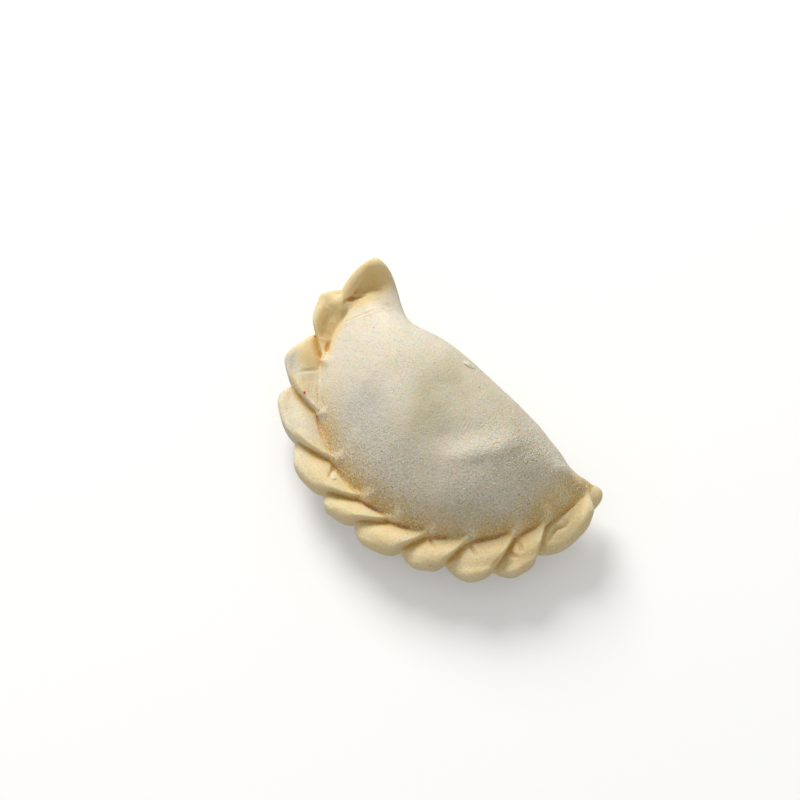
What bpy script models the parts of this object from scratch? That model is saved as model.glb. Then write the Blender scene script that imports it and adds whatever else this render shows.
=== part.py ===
"""A half-moon pierogi dumpling of uncooked dough with a rope-crimped rim.

One solid: a filled belly, the rim of overlapping pleats round its curved
side, a raised horn of pinched dough at the rim's left end and a flat tail
with a small knob at its right end. It lies on its belly with the rim a
little above the surface, on a flat spot pressed by its own weight.

Sizes are in millimetres and turned into metres where the meshes are made.
The rim follows an arc of a circle, so places on it are an angle about the
arc's centre, anticlockwise from +X in degrees, and a radius from there.
"""

import math

import bmesh
import bpy
import numpy as np
from mathutils import Matrix, Vector

MM = 0.001

# Belly
SEAM_RADIUS = 34.0      # arc's centre to the foot of the rim
FOLD_BACK = 5.6         # how far the folded back edge stands behind the centre
FOLD_WAIST = 3.0        # how far it draws in towards both ends
BELLY_TOP = 27.0        # height of the belly
BELLY_PEAK_Y = -10.0    # highest point of the belly, before the arc's centre
FLOOR_SINK = 1.4        # depth pressed flat where the belly rests
FOLD_HEIGHT = 13.5      # height of the folded back edge
SEAM_HEIGHT = 9.5       # height of the seam under the pleats
CORNER_SHARPNESS = 7.5  # how tightly the seam turns into the folded edge

# Crimped rim
NOTCH_RADIUS = 38.8     # arc's centre to the notches between the pleats
RIM_TOP = 11.4          # top of the rim at the seam
RIM_DROOP = 0.36        # how far the rim drops for each millimetre outwards
RIM_RISE = 2.2          # how far the rim rises where it meets the horn
RIM_THICKNESS = 5.0     # dough folded over itself
PLEAT_STEP = 2.9        # drop from a pleat's free edge to the next pleat
PLEAT_CROWN = 1.0       # how far a pleat puffs up between seam and edge
TIP_LIFT = 1.0          # how far a pleat's tip is pinched up the belly
TIP_OVERLAP = 0.9       # how far its tip and inner edge press into the belly
TUCK = 5.0              # degrees of each pleat hidden under the one before
CUT_EDGE_ROUND = 0.5    # rounding of the cut free edge
SEAM_EDGE_ROUND = 1.3   # rounding of the edge that lies against the belly
SCALLOP_ROUND = 2.2     # rounding of the folded outer edge
LEAST_DOUGH = 0.6       # thinnest part of a pleat's rounded edge

# Angle of each pleat's pointed tip, how many degrees its free edge leans
# back from there to the notch, and the radius that its scallop reaches.
# The first row is the end of the horn's lip, where the next pleat starts.
PLEATS = (
    (190, 6, 39.0),
    (210, 10, 42.4),
    (234, 15, 42.8),
    (253, 16, 42.6),
    (272, 13, 41.6),
    (286, 13, 40.6),
    (300, 9, 40.8),
    (315, 8, 40.6),
    (333, 11, 41.8),
    (345, 7, 42.4),
    (366, 4, 41.2),
)

# Flaps of pinched dough at the ends of the rim: foot, bend and tip of each
# one's middle line, its width at foot and tip, its thickness, and how far
# its sides stand above its middle.
HORN = ((-28.0, -3.4, 11.0), (-32.0, 1.2, 12.6), (-36.4, 6.0, 18.4), 15.6, 6.0, 3.4, 1.4)
TAIL = ((25.0, -3.0, 10.0), (31.0, 1.4, 10.0), (36.6, 4.6, 9.4), 12.0, 4.6, 4.2, 0.0)

# Lip rolled over the horn's outer side, from the horn's tip to the first pleat
LIP_ROUTE = ((-36.6, 4.8, 18.6), (-37.0, 1.2, 16.8), (-36.8, -2.6, 15.0), (-34.6, -6.4, 13.2))
LIP_DIAMETER = 2.8

# Knob behind the last pleat
KNOB_PLACE = (36.6, 3.8, 9.0)
KNOB_SIZE = (4.2, 5.4, 4.4)

# Solid
VOXEL = 0.55            # grain of the remesh that unites the shapes
KEPT_SHARE = 0.10       # share of its triangles that the solid keeps
CUTTER_SIZE = 120.0     # block that presses the underside flat

DOUGH_COLOUR = (0.78, 0.69, 0.50, 1.0)
DOUGH_ROUGHNESS = 0.75


def clear_scene():
    """Remove whatever the scene holds."""
    for item in list(bpy.data.objects):
        bpy.data.objects.remove(item, do_unlink=True)


def dough_material():
    """Pale floured dough."""
    material = bpy.data.materials.new("dough")
    material.use_nodes = True
    shader = material.node_tree.nodes["Principled BSDF"]
    shader.inputs["Base Color"].default_value = DOUGH_COLOUR
    shader.inputs["Roughness"].default_value = DOUGH_ROUGHNESS
    shader.inputs["Metallic"].default_value = 0.0
    return material


# Shapes in general ----------------------------------------------------------

def smooth_step(value):
    """Ease from 0 to 1 as value goes from 0 to 1."""
    value = np.clip(value, 0.0, 1.0)
    return value * value * (3.0 - 2.0 * value)


def curve_through(points, count):
    """Smooth curve (Catmull-Rom) through points, as an array of count rows."""
    points = np.asarray(points, dtype=float)
    before = 2.0 * points[0] - points[1]
    after = 2.0 * points[-1] - points[-2]
    padded = np.vstack((before, points, after))
    spans = len(points) - 1
    places = np.linspace(0.0, spans, count)
    span = np.minimum(places.astype(int), spans - 1)
    t = (places - span)[:, None]
    p0, p1, p2, p3 = (padded[span + step] for step in range(4))
    linear = (p2 - p0) * t
    square = (2.0 * p0 - 5.0 * p1 + 4.0 * p2 - p3) * t ** 2
    cube = (3.0 * p1 - p0 - 3.0 * p2 + p3) * t ** 3
    return 0.5 * (2.0 * p1 + linear + square + cube)


def path_frames(route):
    """Side and face directions along a route."""
    heading = np.gradient(route, axis=0)
    heading /= np.linalg.norm(heading, axis=1)[:, None]
    side = np.cross(heading, (0.0, 0.0, 1.0))
    side /= np.linalg.norm(side, axis=1)[:, None]
    return side, np.cross(side, heading)


def plan(polar):
    """Flat x and y of pairs of angle and radius."""
    angle = np.radians(polar[..., 0])
    return polar[..., 1:2] * np.stack((np.cos(angle), np.sin(angle)), axis=-1)


def mesh_object(name, points, faces):
    """Object from points in millimetres and faces, with its faces pointing out."""
    mesh = bpy.data.meshes.new(name)
    mesh.from_pydata([tuple(point) for point in np.asarray(points) * MM], [], faces)
    shape = bmesh.new()
    shape.from_mesh(mesh)
    bmesh.ops.recalc_face_normals(shape, faces=shape.faces)
    if shape.calc_volume(signed=True) < 0.0:
        bmesh.ops.reverse_faces(shape, faces=shape.faces)
    shape.to_mesh(mesh)
    shape.free()
    item = bpy.data.objects.new(name, mesh)
    bpy.context.collection.objects.link(item)
    return item


def ring_faces(rows, around):
    """Quads between rings of points stored one after the other."""
    faces = []
    for row in range(rows - 1):
        for place in range(around):
            here = row * around + place
            beside = row * around + (place + 1) % around
            faces.append((here, beside, beside + around, here + around))
    return faces


def tube_object(name, rings):
    """Closed object from rings of points, capped at both ends."""
    rows, around = rings.shape[:2]
    faces = ring_faces(rows, around)
    faces.append(tuple(range(around)))
    faces.append(tuple(range((rows - 1) * around, rows * around)))
    return mesh_object(name, rings.reshape(-1, 3), faces)


# Belly ----------------------------------------------------------------------

def belly_reach(across, forward):
    """Distance from the belly's peak to its outline in the given directions.

    In front the outline is the seam's arc and behind it is the folded edge,
    bulging in the middle, with a soft corner where the two meet.
    """
    half = BELLY_PEAK_Y * forward
    to_seam = -half + np.sqrt(half ** 2 + SEAM_RADIUS ** 2 - BELLY_PEAK_Y ** 2)
    fold = FOLD_BACK - FOLD_WAIST * (across / 0.87) ** 4
    to_fold = (fold - BELLY_PEAK_Y) / np.maximum(forward, 1e-3)
    inverse = to_seam ** -CORNER_SHARPNESS + to_fold ** -CORNER_SHARPNESS
    return inverse ** (-1.0 / CORNER_SHARPNESS)


def belly_mesh(rings=30, spokes=120):
    """Filled belly: a domed top and a flatter underside over a half-moon.

    The dome is steep behind, where the dough is folded, and falls away
    gently to the seam and to both ends.
    """
    angles = np.linspace(0.0, 2.0 * math.pi, spokes, endpoint=False)
    across = np.cos(angles)
    forward = np.sin(angles)
    reach = belly_reach(across, forward)
    behind = smooth_step(0.5 + 0.8 * forward)
    edge = SEAM_HEIGHT + (FOLD_HEIGHT - SEAM_HEIGHT) * behind
    steepness = 0.72 - 0.16 * behind + 0.20 * across ** 4
    fullness = 2.1 + 0.4 * behind
    top = []
    bottom = []
    for share in np.linspace(0.0, 1.0, rings + 1)[1:]:
        spread = math.sin(share * math.pi / 2.0)
        x = reach * spread * across
        y = BELLY_PEAK_Y + reach * spread * forward
        dome = np.maximum(1.0 - spread ** fullness, 0.0) ** steepness
        bowl = np.maximum(1.0 - spread ** 3.0, 0.0) ** 0.6
        top.append(np.column_stack((x, y, edge + (BELLY_TOP - edge) * dome)))
        bottom.append(np.column_stack((x, y, edge - (edge + FLOOR_SINK) * bowl)))
    rows = bottom[:-1] + top[::-1]
    poles = ((0.0, BELLY_PEAK_Y, -FLOOR_SINK), (0.0, BELLY_PEAK_Y, BELLY_TOP))
    points = np.vstack(rows + [np.array(poles)])
    faces = ring_faces(len(rows), spokes)
    low = len(rows) * spokes
    last = low - spokes
    for spoke in range(spokes):
        beside = (spoke + 1) % spokes
        faces.append((low, beside, spoke))
        faces.append((low + 1, last + spoke, last + beside))
    return mesh_object("belly", points, faces)


# Pleats ---------------------------------------------------------------------

def free_edge_angle(pleat, radius):
    """Angle of a pleat's free edge at a radius."""
    tip, lean, _ = pleat
    return tip - lean * (radius - SEAM_RADIUS) / (NOTCH_RADIUS - SEAM_RADIUS)


def rim_top(angle, radius):
    """Mean height of the rim's top: it droops outwards and rises to the horn."""
    rise = RIM_RISE * smooth_step((207.0 - angle) / 20.0)
    return RIM_TOP + rise - RIM_DROOP * (radius - SEAM_RADIUS)


def pleat_top(before, pleat, angle, radius):
    """Height of a pleat's top: low where it comes out from under the pleat
    before it, high at its own free edge, like a roof tile."""
    start = free_edge_angle(before, radius)
    end = free_edge_angle(pleat, radius)
    along = (angle - start) / (end - start)
    seen = 1.0 - np.clip(1.0 - along, 0.0, 1.0) ** 1.9
    rise = np.where(along > 0.0, seen, 2.2 * along)
    outward = (radius - SEAM_RADIUS) / (NOTCH_RADIUS - SEAM_RADIUS)
    crown = PLEAT_CROWN * np.sin(np.clip(outward, 0.0, 1.2) / 1.2 * math.pi)
    pinch = TIP_LIFT * np.exp(-((angle - pleat[0]) / 5.0) ** 2 - (outward / 0.35) ** 2)
    return rim_top(angle, radius) + PLEAT_STEP * (rise - 0.5) + crown + pinch


def pleat_edges(before, pleat, count):
    """Inner edge, along the seam, and outer edge, round the scallop and up the
    free edge, both from the hidden start to the pointed tip."""
    tip, lean, reach = pleat
    notch = tip - lean
    old_tip = before[0]
    old_notch = old_tip - before[1]
    width = notch - old_notch
    seam = SEAM_RADIUS - TIP_OVERLAP
    start = (old_tip - TUCK, SEAM_RADIUS - 0.4)
    end = (tip + 0.4, seam)
    inner = (start, (old_tip, seam + 0.1), (0.5 * (old_tip + tip), seam - 0.2), end)
    outer = (
        start,
        (old_notch - TUCK, NOTCH_RADIUS - 2.5),
        (old_notch + 0.3, NOTCH_RADIUS - 0.2),
        (old_notch + 0.28 * width, reach - 0.4),
        (old_notch + 0.55 * width, reach),
        (notch - 0.10 * width, 0.5 * (reach + NOTCH_RADIUS)),
        (notch + 0.3 * lean, NOTCH_RADIUS - 1.4),
        end,
    )
    return curve_through(inner, count), curve_through(outer, count)


def edge_roll(before, pleat, flat, samples=160):
    """How far the surface rolls away near the pleat's edges, at flat places:
    widely at the folded scallop, tightly at the cut free edge."""
    inner, outer = pleat_edges(before, pleat, samples)
    cut = smooth_step((np.linspace(0.0, 1.0, samples) - 0.62) / 0.12)
    outer_size = SCALLOP_ROUND + (CUT_EDGE_ROUND - SCALLOP_ROUND) * cut
    sizes = np.concatenate((np.full(samples, SEAM_EDGE_ROUND), outer_size))
    edges = plan(np.vstack((inner, outer)))
    gaps = np.linalg.norm(flat[:, :, None, :] - edges, axis=-1)
    size = sizes[gaps.argmin(axis=-1)]
    inside = np.clip(gaps.min(axis=-1) / size, 0.0, 1.0)
    return size * (1.0 - np.sqrt(1.0 - (1.0 - inside) ** 2))


def pleat_mesh(name, before, pleat, rows=41, columns=17):
    """One pleat: a leaf of dough between its inner and its outer edge."""
    inner, outer = pleat_edges(before, pleat, rows)
    across = 0.5 - 0.5 * np.cos(np.linspace(0.0, math.pi, columns))[None, :, None]
    polar = inner[:, None, :] * (1.0 - across) + outer[:, None, :] * across
    flat = plan(polar)
    angle = polar[..., 0]
    radius = polar[..., 1]
    roll = edge_roll(before, pleat, flat)
    floor = rim_top(angle, radius) - RIM_THICKNESS
    top = np.maximum(pleat_top(before, pleat, angle, radius) - roll, floor + LEAST_DOUGH)
    low = np.minimum(floor + roll, top - 0.5 * LEAST_DOUGH)
    upper = np.concatenate((flat, top[..., None]), axis=-1)
    lower = np.concatenate((flat, low[..., None]), axis=-1)
    return tube_object(name, np.concatenate((upper, lower[:, ::-1]), axis=1))


# Ends of the rim ------------------------------------------------------------

def flap_mesh(name, flap, rows=26, around=34):
    """Flap of pinched dough, cupped upwards, with a rounded tip."""
    foot, bend, tip, foot_width, tip_width, thickness, cup = flap
    spine = curve_through((foot, bend, tip), rows)
    side, face = path_frames(spine)
    along = np.linspace(0.0, 1.0, rows)
    half = 0.5 * (foot_width + (tip_width - foot_width) * along)
    half *= np.sqrt(1.0 - np.clip((along - 0.70) / 0.303, 0.0, 1.0) ** 2)
    turn = np.linspace(0.0, 2.0 * math.pi, around, endpoint=False)
    rings = []
    for row in range(rows):
        thick = 0.5 * thickness * min(1.0, half[row] / 2.0 + 0.2)
        reach = half[row] * np.cos(turn)
        rise = thick * np.sin(turn) + cup * (2.0 * reach / foot_width) ** 2
        rings.append(spine[row] + reach[:, None] * side[row] + rise[:, None] * face[row])
    return tube_object(name, np.array(rings))


def lip_mesh(rows=40, around=12):
    """Edge rolled over the horn's outer side, thin at both ends."""
    route = curve_through(LIP_ROUTE, rows)
    side, face = path_frames(route)
    turn = np.linspace(0.0, 2.0 * math.pi, around, endpoint=False)
    swell = 0.5 * LIP_DIAMETER * np.sqrt(np.sin(np.linspace(0.12, math.pi - 0.12, rows)))
    rings = []
    for row in range(rows):
        ring = np.cos(turn)[:, None] * side[row] + np.sin(turn)[:, None] * face[row]
        rings.append(route[row] + swell[row] * ring)
    return tube_object("lip", np.array(rings))


def knob_mesh():
    """Small knob that ends the rim on the right."""
    mesh = bpy.data.meshes.new("knob")
    shape = bmesh.new()
    bmesh.ops.create_uvsphere(shape, u_segments=24, v_segments=16, radius=0.5)
    for vertex in shape.verts:
        vertex.co = (Vector(KNOB_PLACE) + vertex.co * Vector(KNOB_SIZE)) * MM
    shape.to_mesh(mesh)
    shape.free()
    item = bpy.data.objects.new("knob", mesh)
    bpy.context.collection.objects.link(item)
    return item


# Solid ----------------------------------------------------------------------

def join(items, name):
    """One object from the meshes of several, which it takes the place of."""
    whole = bmesh.new()
    for item in items:
        whole.from_mesh(item.data)
        bpy.data.objects.remove(item, do_unlink=True)
    mesh = bpy.data.meshes.new(name)
    whole.to_mesh(mesh)
    whole.free()
    joined = bpy.data.objects.new(name, mesh)
    bpy.context.collection.objects.link(joined)
    return joined


def centre_in_plan(item):
    """Shift the mesh so that its box is centred on the origin in plan."""
    corners = np.array([vertex.co for vertex in item.data.vertices])
    middle = 0.5 * (corners.min(axis=0) + corners.max(axis=0))
    item.data.transform(Matrix.Translation((-middle[0], -middle[1], 0.0)))


def floor_cutter():
    """Block below the resting surface."""
    mesh = bpy.data.meshes.new("floor_cutter")
    shape = bmesh.new()
    bmesh.ops.create_cube(shape, size=CUTTER_SIZE * MM)
    bmesh.ops.translate(shape, verts=shape.verts, vec=(0.0, 0.0, -0.5 * CUTTER_SIZE * MM))
    shape.to_mesh(mesh)
    shape.free()
    cutter = bpy.data.objects.new("floor_cutter", mesh)
    bpy.context.collection.objects.link(cutter)
    cutter.hide_render = True
    cutter.display_type = 'WIRE'
    return cutter


def build_dumpling():
    """Unite belly, pleats, horn, lip, tail and knob into one solid."""
    items = [belly_mesh(), flap_mesh("horn", HORN), lip_mesh(), flap_mesh("tail", TAIL), knob_mesh()]
    for number in range(1, len(PLEATS)):
        items.append(pleat_mesh(f"pleat_{number}", PLEATS[number - 1], PLEATS[number]))
    dumpling = join(items, "dumpling")
    centre_in_plan(dumpling)
    dumpling.data.materials.append(dough_material())

    unite = dumpling.modifiers.new("unite", 'REMESH')
    unite.mode = 'VOXEL'
    unite.voxel_size = VOXEL * MM
    soften = dumpling.modifiers.new("soften", 'SMOOTH')
    soften.factor = 0.5
    soften.iterations = 2
    thin = dumpling.modifiers.new("thin", 'DECIMATE')
    thin.ratio = KEPT_SHARE
    rest = dumpling.modifiers.new("rest", 'BOOLEAN')
    rest.operation = 'DIFFERENCE'
    rest.solver = 'EXACT'
    rest.object = floor_cutter()
    dumpling.data.shade_smooth()


clear_scene()
build_dumpling()
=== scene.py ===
"""Looks of a half-moon pierogi dumpling of uncooked dough with a rope-crimped rim.

Run as a script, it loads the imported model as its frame, builds the floured
dough with its pleats, creases and hollows, the loose flour, the specks and
the scraps of dough on it, and sets up a plain studio round them.

The shapes are worked out in millimetres about the centre of the rim's arc:
+X points to the tail, -Y to the middle of the rim, +Z up. Places on the rim
are an angle in degrees, anticlockwise from +X, and a radius from that centre.
They are turned into metres and put in the frame where a piece is finished.
"""

import math

import bmesh
import bpy
import numpy as np
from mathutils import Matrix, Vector, noise
from mathutils.bvhtree import BVHTree


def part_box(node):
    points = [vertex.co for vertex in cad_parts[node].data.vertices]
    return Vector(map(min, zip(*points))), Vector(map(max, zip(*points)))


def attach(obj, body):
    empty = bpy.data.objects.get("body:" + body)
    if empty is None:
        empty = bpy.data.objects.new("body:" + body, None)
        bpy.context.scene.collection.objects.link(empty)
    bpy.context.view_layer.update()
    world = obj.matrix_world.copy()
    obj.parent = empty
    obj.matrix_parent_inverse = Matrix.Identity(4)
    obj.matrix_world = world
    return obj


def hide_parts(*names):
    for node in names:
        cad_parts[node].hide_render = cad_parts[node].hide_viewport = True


bl_info = {
    "name": "Pierogi Dumpling",
    "version": (1, 0, 0),
    "blender": (4, 5, 0),
    "location": "View3D > Sidebar > Dumpling",
    "description": "Builds a floured, rope-crimped pierogi dumpling on a plain studio floor",
    "category": "Add Mesh",
}

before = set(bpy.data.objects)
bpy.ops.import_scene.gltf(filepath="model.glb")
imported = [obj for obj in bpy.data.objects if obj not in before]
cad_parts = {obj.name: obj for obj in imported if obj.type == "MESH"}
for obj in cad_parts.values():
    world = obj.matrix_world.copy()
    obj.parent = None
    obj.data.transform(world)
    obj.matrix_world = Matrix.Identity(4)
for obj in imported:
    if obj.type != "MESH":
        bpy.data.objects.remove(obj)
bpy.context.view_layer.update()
NODE = "dumpling"
BODY = "root"

MM = 0.001

# Place of the rim arc's centre from the middle of the frame's box
ARC_CENTRE = (0.52, 16.77)

# Belly
SEAM_RADIUS = 34.0      # arc's centre to the foot of the rim
FOLD_BACK = 5.2         # how far the folded back edge stands behind the centre
HORN_WAIST = 2.9        # how far it draws in towards the horn
TAIL_WAIST = 0.9        # how far it draws in towards the tail
BELLY_TOP = 27.0        # height of the belly
BELLY_PEAK_Y = -10.0    # highest point of the belly, before the arc's centre
FLOOR_SINK = 1.4        # depth pressed flat where the belly rests
FOLD_HEIGHT = 13.5      # height of the folded back edge
SEAM_HEIGHT = 9.5       # height of the seam under the pleats
CORNER_SHARPNESS = 7.5  # how tightly the seam turns into the folded edge

# Crimped rim
RIM_WIDTH = 4.8         # seam to the notches between the pleats
RIM_TOP = 11.4          # top of the rim at the seam
RIM_DROOP = 0.12        # how far the rim drops for each millimetre outwards
RIM_UPTURN = -0.22      # the same beside the horn, where the rim stands up
RIM_RISE = 2.2          # how far the rim rises where it meets the horn
RIM_THICKNESS = 5.0     # dough folded over itself
PLEAT_STEP = 3.5        # drop from a pleat's free edge to the next pleat at the notch
SEAM_STEP = 1.9         # the same beside the belly
PLEAT_CROWN = 1.0       # how far a pleat puffs up between seam and edge
TIP_LIFT = 0.9          # how far a pleat's tip is pinched up the belly
TIP_OVERLAP = 0.9       # how far its tip and inner edge press into the belly
TUCK = 5.0              # degrees of each pleat hidden under the one before
UNDERCUT = 0.4          # degrees that a free edge overhangs its own foot
CUT_EDGE_ROUND = 0.35   # rounding of the cut free edge
SEAM_EDGE_ROUND = 1.3   # rounding of the edge that lies against the belly
SCALLOP_ROUND = 1.7     # rounding of the folded outer edge
UNDER_ROUND = 1.6       # how much rounder the edges are below than above
LEAST_DOUGH = 0.5       # thinnest part of a pleat's rounded edge

# Angle of each pleat's pointed tip, how many degrees its free edge leans
# back from there to the notch, the radii of its scallop and its notch, and
# how far along the scallop is fullest. The first row is the end of the
# horn's lip, where the next pleat starts.
PLEATS = (
    (190, 6, 39.0, 38.8, 0.55),
    (211, 10, 40.2, 37.8, 0.50),
    (233, 13, 42.0, 39.6, 0.64),
    (253, 14, 42.4, 39.6, 0.48),
    (272, 12, 41.7, 38.6, 0.56),
    (286, 12, 40.8, 38.2, 0.52),
    (300, 8, 40.9, 38.5, 0.50),
    (315, 8, 40.8, 38.8, 0.54),
    (333, 11, 42.0, 40.0, 0.58),
    (345, 7.5, 42.0, 38.9, 0.52),
    (366, 4, 40.2, 37.2, 0.46),
)

# Open gap between each pleat and the belly: how deep it is, and the shares of
# the way from the tip before to the pleat's own tip where it starts and ends
CREVICES = (
    (0.90, 0.62, 0.92),
    (0.30, 0.30, 0.80),
    (1.00, 0.02, 0.58),
    (0.50, 0.05, 0.60),
    (0.90, 0.16, 0.72),
    (0.60, 0.18, 0.50),
    (0.80, 0.14, 0.52),
    (1.25, 0.08, 0.82),
    (0.80, 0.10, 0.72),
    (0.70, 0.34, 0.96),
)

# Flaps of pinched dough at the ends of the rim: foot, bend and tip of each
# one's middle line, its width at foot and tip, its thickness, and how far
# its sides stand above its middle.
HORN = ((-27.9, -2.6, 10.6), (-31.6, 1.9, 12.4), (-35.8, 5.5, 20.2), 15.5, 5.8, 2.8, 1.8)
TAIL = ((25.0, -3.0, 10.0), (30.8, 0.8, 10.0), (36.0, 3.6, 9.4), 12.0, 4.6, 4.2, 0.0)

# Rolls of dough that fill the roots of the horn and the tail: places along
# the middle line of each one, with its thickness there. The first carries
# the folded back edge on to the horn, the second lies between the belly and
# the horn, and the other two flatten the belly's end towards the tail.
ROLLS = (
    ((-17.0, -2.6, 12.4, 11.0), (-23.6, -0.6, 12.6, 8.0), (-28.0, 2.3, 13.2, 5.4), (-31.4, 4.4, 15.0, 3.0)),
    ((-33.0, -4.0, 11.6, 4.0), (-30.2, -0.9, 13.0, 7.0), (-27.6, 1.4, 13.2, 6.2), (-25.0, 0.6, 12.6, 4.5)),
    ((21.0, -2.2, 12.0, 11.0), (27.0, -0.9, 11.8, 9.8), (31.2, 0.9, 11.0, 6.8), (34.2, 2.4, 9.8, 4.6)),
    ((24.0, -8.0, 11.0, 9.0), (28.6, -5.0, 10.8, 8.0), (32.4, -1.6, 10.2, 5.4), (34.0, 1.4, 9.6, 3.6)),
)

# Lip rolled over the horn's outer side, from the horn's tip to the first pleat
LIP_ROUTE = ((-35.8, 5.2, 20.0), (-36.2, 1.8, 17.6), (-36.2, -1.9, 15.4), (-35.0, -6.4, 14.0))
LIP_DIAMETER = 3.0

# Rounded lumps, place and size: the knob behind the last pleat and its neck,
# the floor of the pocket behind the lip, and and the corners and the small
# bump where the lip meets the first pleat
LUMPS = (
    ((35.0, 3.3, 8.8), (4.8, 5.6, 5.2)),
    ((34.8, 1.8, 9.0), (5.6, 6.4, 6.2)),
    ((-33.8, -1.8, 12.4), (4.0, 4.0, 4.4)),
    ((-34.0, -4.4, 12.6), (3.8, 3.8, 3.8)),
    ((-37.4, -7.0, 13.8), (4.4, 4.4, 3.4)),
    ((-35.6, -6.1, 14.4), (3.2, 3.2, 3.2)),
    ((-38.5, -7.5, 14.4), (2.8, 2.8, 2.8)),
)

# Creases (negative) and ridges (positive) on the upper side: height, half
# width and the places in plan that each one runs through.
STROKES = (
    # crack across the root of the horn, and its raised lip
    (-0.45, 0.30, ((-31.4, -8.6), (-29.2, -6.2), (-27.6, -3.6), (-26.4, -1.2), (-24.8, 1.4))),
    (0.20, 0.50, ((-30.6, -9.0), (-28.6, -6.6), (-27.0, -4.2), (-25.6, -1.6), (-24.2, 0.8))),
    # hollow of the first pleat, down from the horn's lip to its tip
    (-1.25, 1.30, ((-35.2, -8.6), (-34.0, -11.4), (-32.0, -14.2))),
    # slit of the pocket under the horn's face
    (-0.80, 0.36, ((-34.2, -6.6), (-34.6, -4.8), (-34.4, -3.2), (-33.4, -1.9), (-32.2, -0.8))),
    # long dent in the belly, the ridge before it and the nick under the ridge
    (-0.50, 2.8, ((6.6, -16.0), (8.6, -12.8), (10.6, -8.6), (13.1, -3.6))),
    (0.72, 2.2, ((9.6, -18.4), (12.7, -14.2), (14.4, -11.4), (16.7, -7.7), (18.4, -3.0))),
    (-0.10, 0.8, ((14.2, -14.6), (15.4, -13.3), (16.8, -10.8))),
    # fold across the second pleat
    (-0.32, 0.42, ((-29.9, -24.2), (-28.8, -21.9), (-27.8, -19.6))),
    # creases that run into the pleats from the tips between them
    (-0.75, 0.38, ((-9.6, -31.4), (-8.4, -33.4), (-7.0, -35.8))),
    (-0.65, 0.38, ((17.3, -29.1), (18.8, -29.7), (20.3, -30.0))),
    (-0.75, 0.38, ((24.2, -23.8), (26.0, -24.6), (27.9, -25.1))),
    (-0.70, 0.40, ((31.6, -19.0), (33.0, -19.2), (34.2, -18.9))),
    (-0.70, 0.40, ((31.5, -16.0), (32.8, -16.9), (33.7, -17.5))),
    # last pleat: its strip along the belly, the fold under the strip, the
    # hollow beside the fold and the thick edge outside it
    (0.50, 0.80, ((34.5, -8.0), (34.9, -5.0), (34.8, -2.0), (34.2, 1.2))),
    (-1.10, 0.42, ((35.9, -11.6), (35.4, -9.9), (35.1, -8.3), (36.0, -6.9), (36.2, -5.2))),
    (-0.15, 1.20, ((37.6, -9.0), (37.9, -6.2), (37.2, -3.2))),
    (0.35, 0.90, ((38.8, -8.0), (38.9, -4.6), (37.4, -1.6), (35.4, 1.2))),
    # rise behind the hollow at the tail
    (0.70, 1.40, ((26.0, -0.4), (28.8, 0.8), (31.4, 1.7), (33.2, 2.5))),
)

# Shallow dents (negative) and bulges (positive): height, radius, place in plan
DENTS = (
    (-0.40, 2.6, (29.8, -3.4)),
    (-0.30, 2.2, (31.4, -1.0)),
    (-0.45, 6.0, (-4.1, -9.1)),
    (0.45, 6.0, (-15.0, -12.0)),
    (-0.35, 4.5, (-9.0, -21.0)),
    (0.30, 6.0, (7.0, -24.0)),
    (-0.55, 6.5, (5.0, -13.0)),
    (0.60, 7.0, (18.5, -18.5)),
)

# Fine parallel wrinkles in the long dent: height, spacing, radius of the
# patch, its place in plan and the direction across the wrinkles in degrees
WRINKLES = (0.06, 0.75, 2.6, (9.2, -9.6), 20.0)

# Parts of the dough that are smoothed into each other: radius, place in plan
WEBS = (
    (5.0, (-26.0, 2.6)),
    (4.5, (-29.0, -0.5)),
    (3.0, (-30.5, -5.0)),
    (2.5, (-35.4, -6.6)),
    (5.5, (27.0, 1.0)),
    (5.5, (28.5, -4.5)),
    (3.5, (32.0, 1.5)),
    (3.2, (35.4, 2.2)),
)
SEAM_BLEND = 0.30       # how much the pleats' inner edges are smoothed into the belly

WEDGE_WIDTH = 2.1       # width of the warm shade beside each free edge
TIP_WIDTH = 1.7         # size of the bump that each tip raises on the belly, where the seam's tint and painted shade are lifted

# Tints: strength, radius and place in plan, where the filling shows greyish
# through the dough, where the dough is moist and olive and painted shade
# darkens the middle and right of the belly, where it has lost its flour,
# and where the seam's warm colour is laid on in patches
GREY_PATCHES = (
    (0.9, 6.5, (-7.5, -21.5)),
    (0.6, 6.0, (-15.0, -20.5)),
    (0.4, 5.0, (3.0, -20.0)),
    (0.9, 4.5, (-34.0, -23.0)),
)
MOIST_AND_SHADE_PATCHES = (
    (1.0, 6.5, (-0.5, -11.0)),
    (0.7, 6.0, (-4.0, -2.5)),
    (0.3, 5.0, (1.5, -17.5)),
    (0.6, 6.0, (21.0, -4.0)),
    (0.4, 5.0, (12.0, 1.0)),
    (0.35, 6.0, (6.0, -1.0)),
    (0.5, 5.0, (21.0, -22.0)),
)
BARE_PATCHES = (
    (0.9, 2.4, (-31.0, -20.4)),
    (0.5, 2.2, (-26.7, -25.5)),
    (0.5, 2.6, (-14.0, -34.0)),
    (0.3, 7.0, (28.0, -8.0)),
    (0.5, 3.5, (30.5, -2.8)),
)
AMBER_PATCHES = (
    (0.45, 4.5, (-33.5, 1.5)),
    (0.40, 2.0, (-33.4, -12.2)),
    (0.35, 3.5, (33.5, -18.0)),
    (0.15, 5.0, (36.5, -6.0)),
    (0.20, 3.5, (33.0, 2.0)),
    (0.40, 2.0, (-31.0, -20.4)),
)

# Studio: colour of the light that the floor throws back up, and how far the
# floor glows where the camera sees it
FLOOR_BOUNCE = (0.62, 0.61, 0.59)
FLOOR_GLOW = 0.18


# Properties -----------------------------------------------------------------

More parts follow.
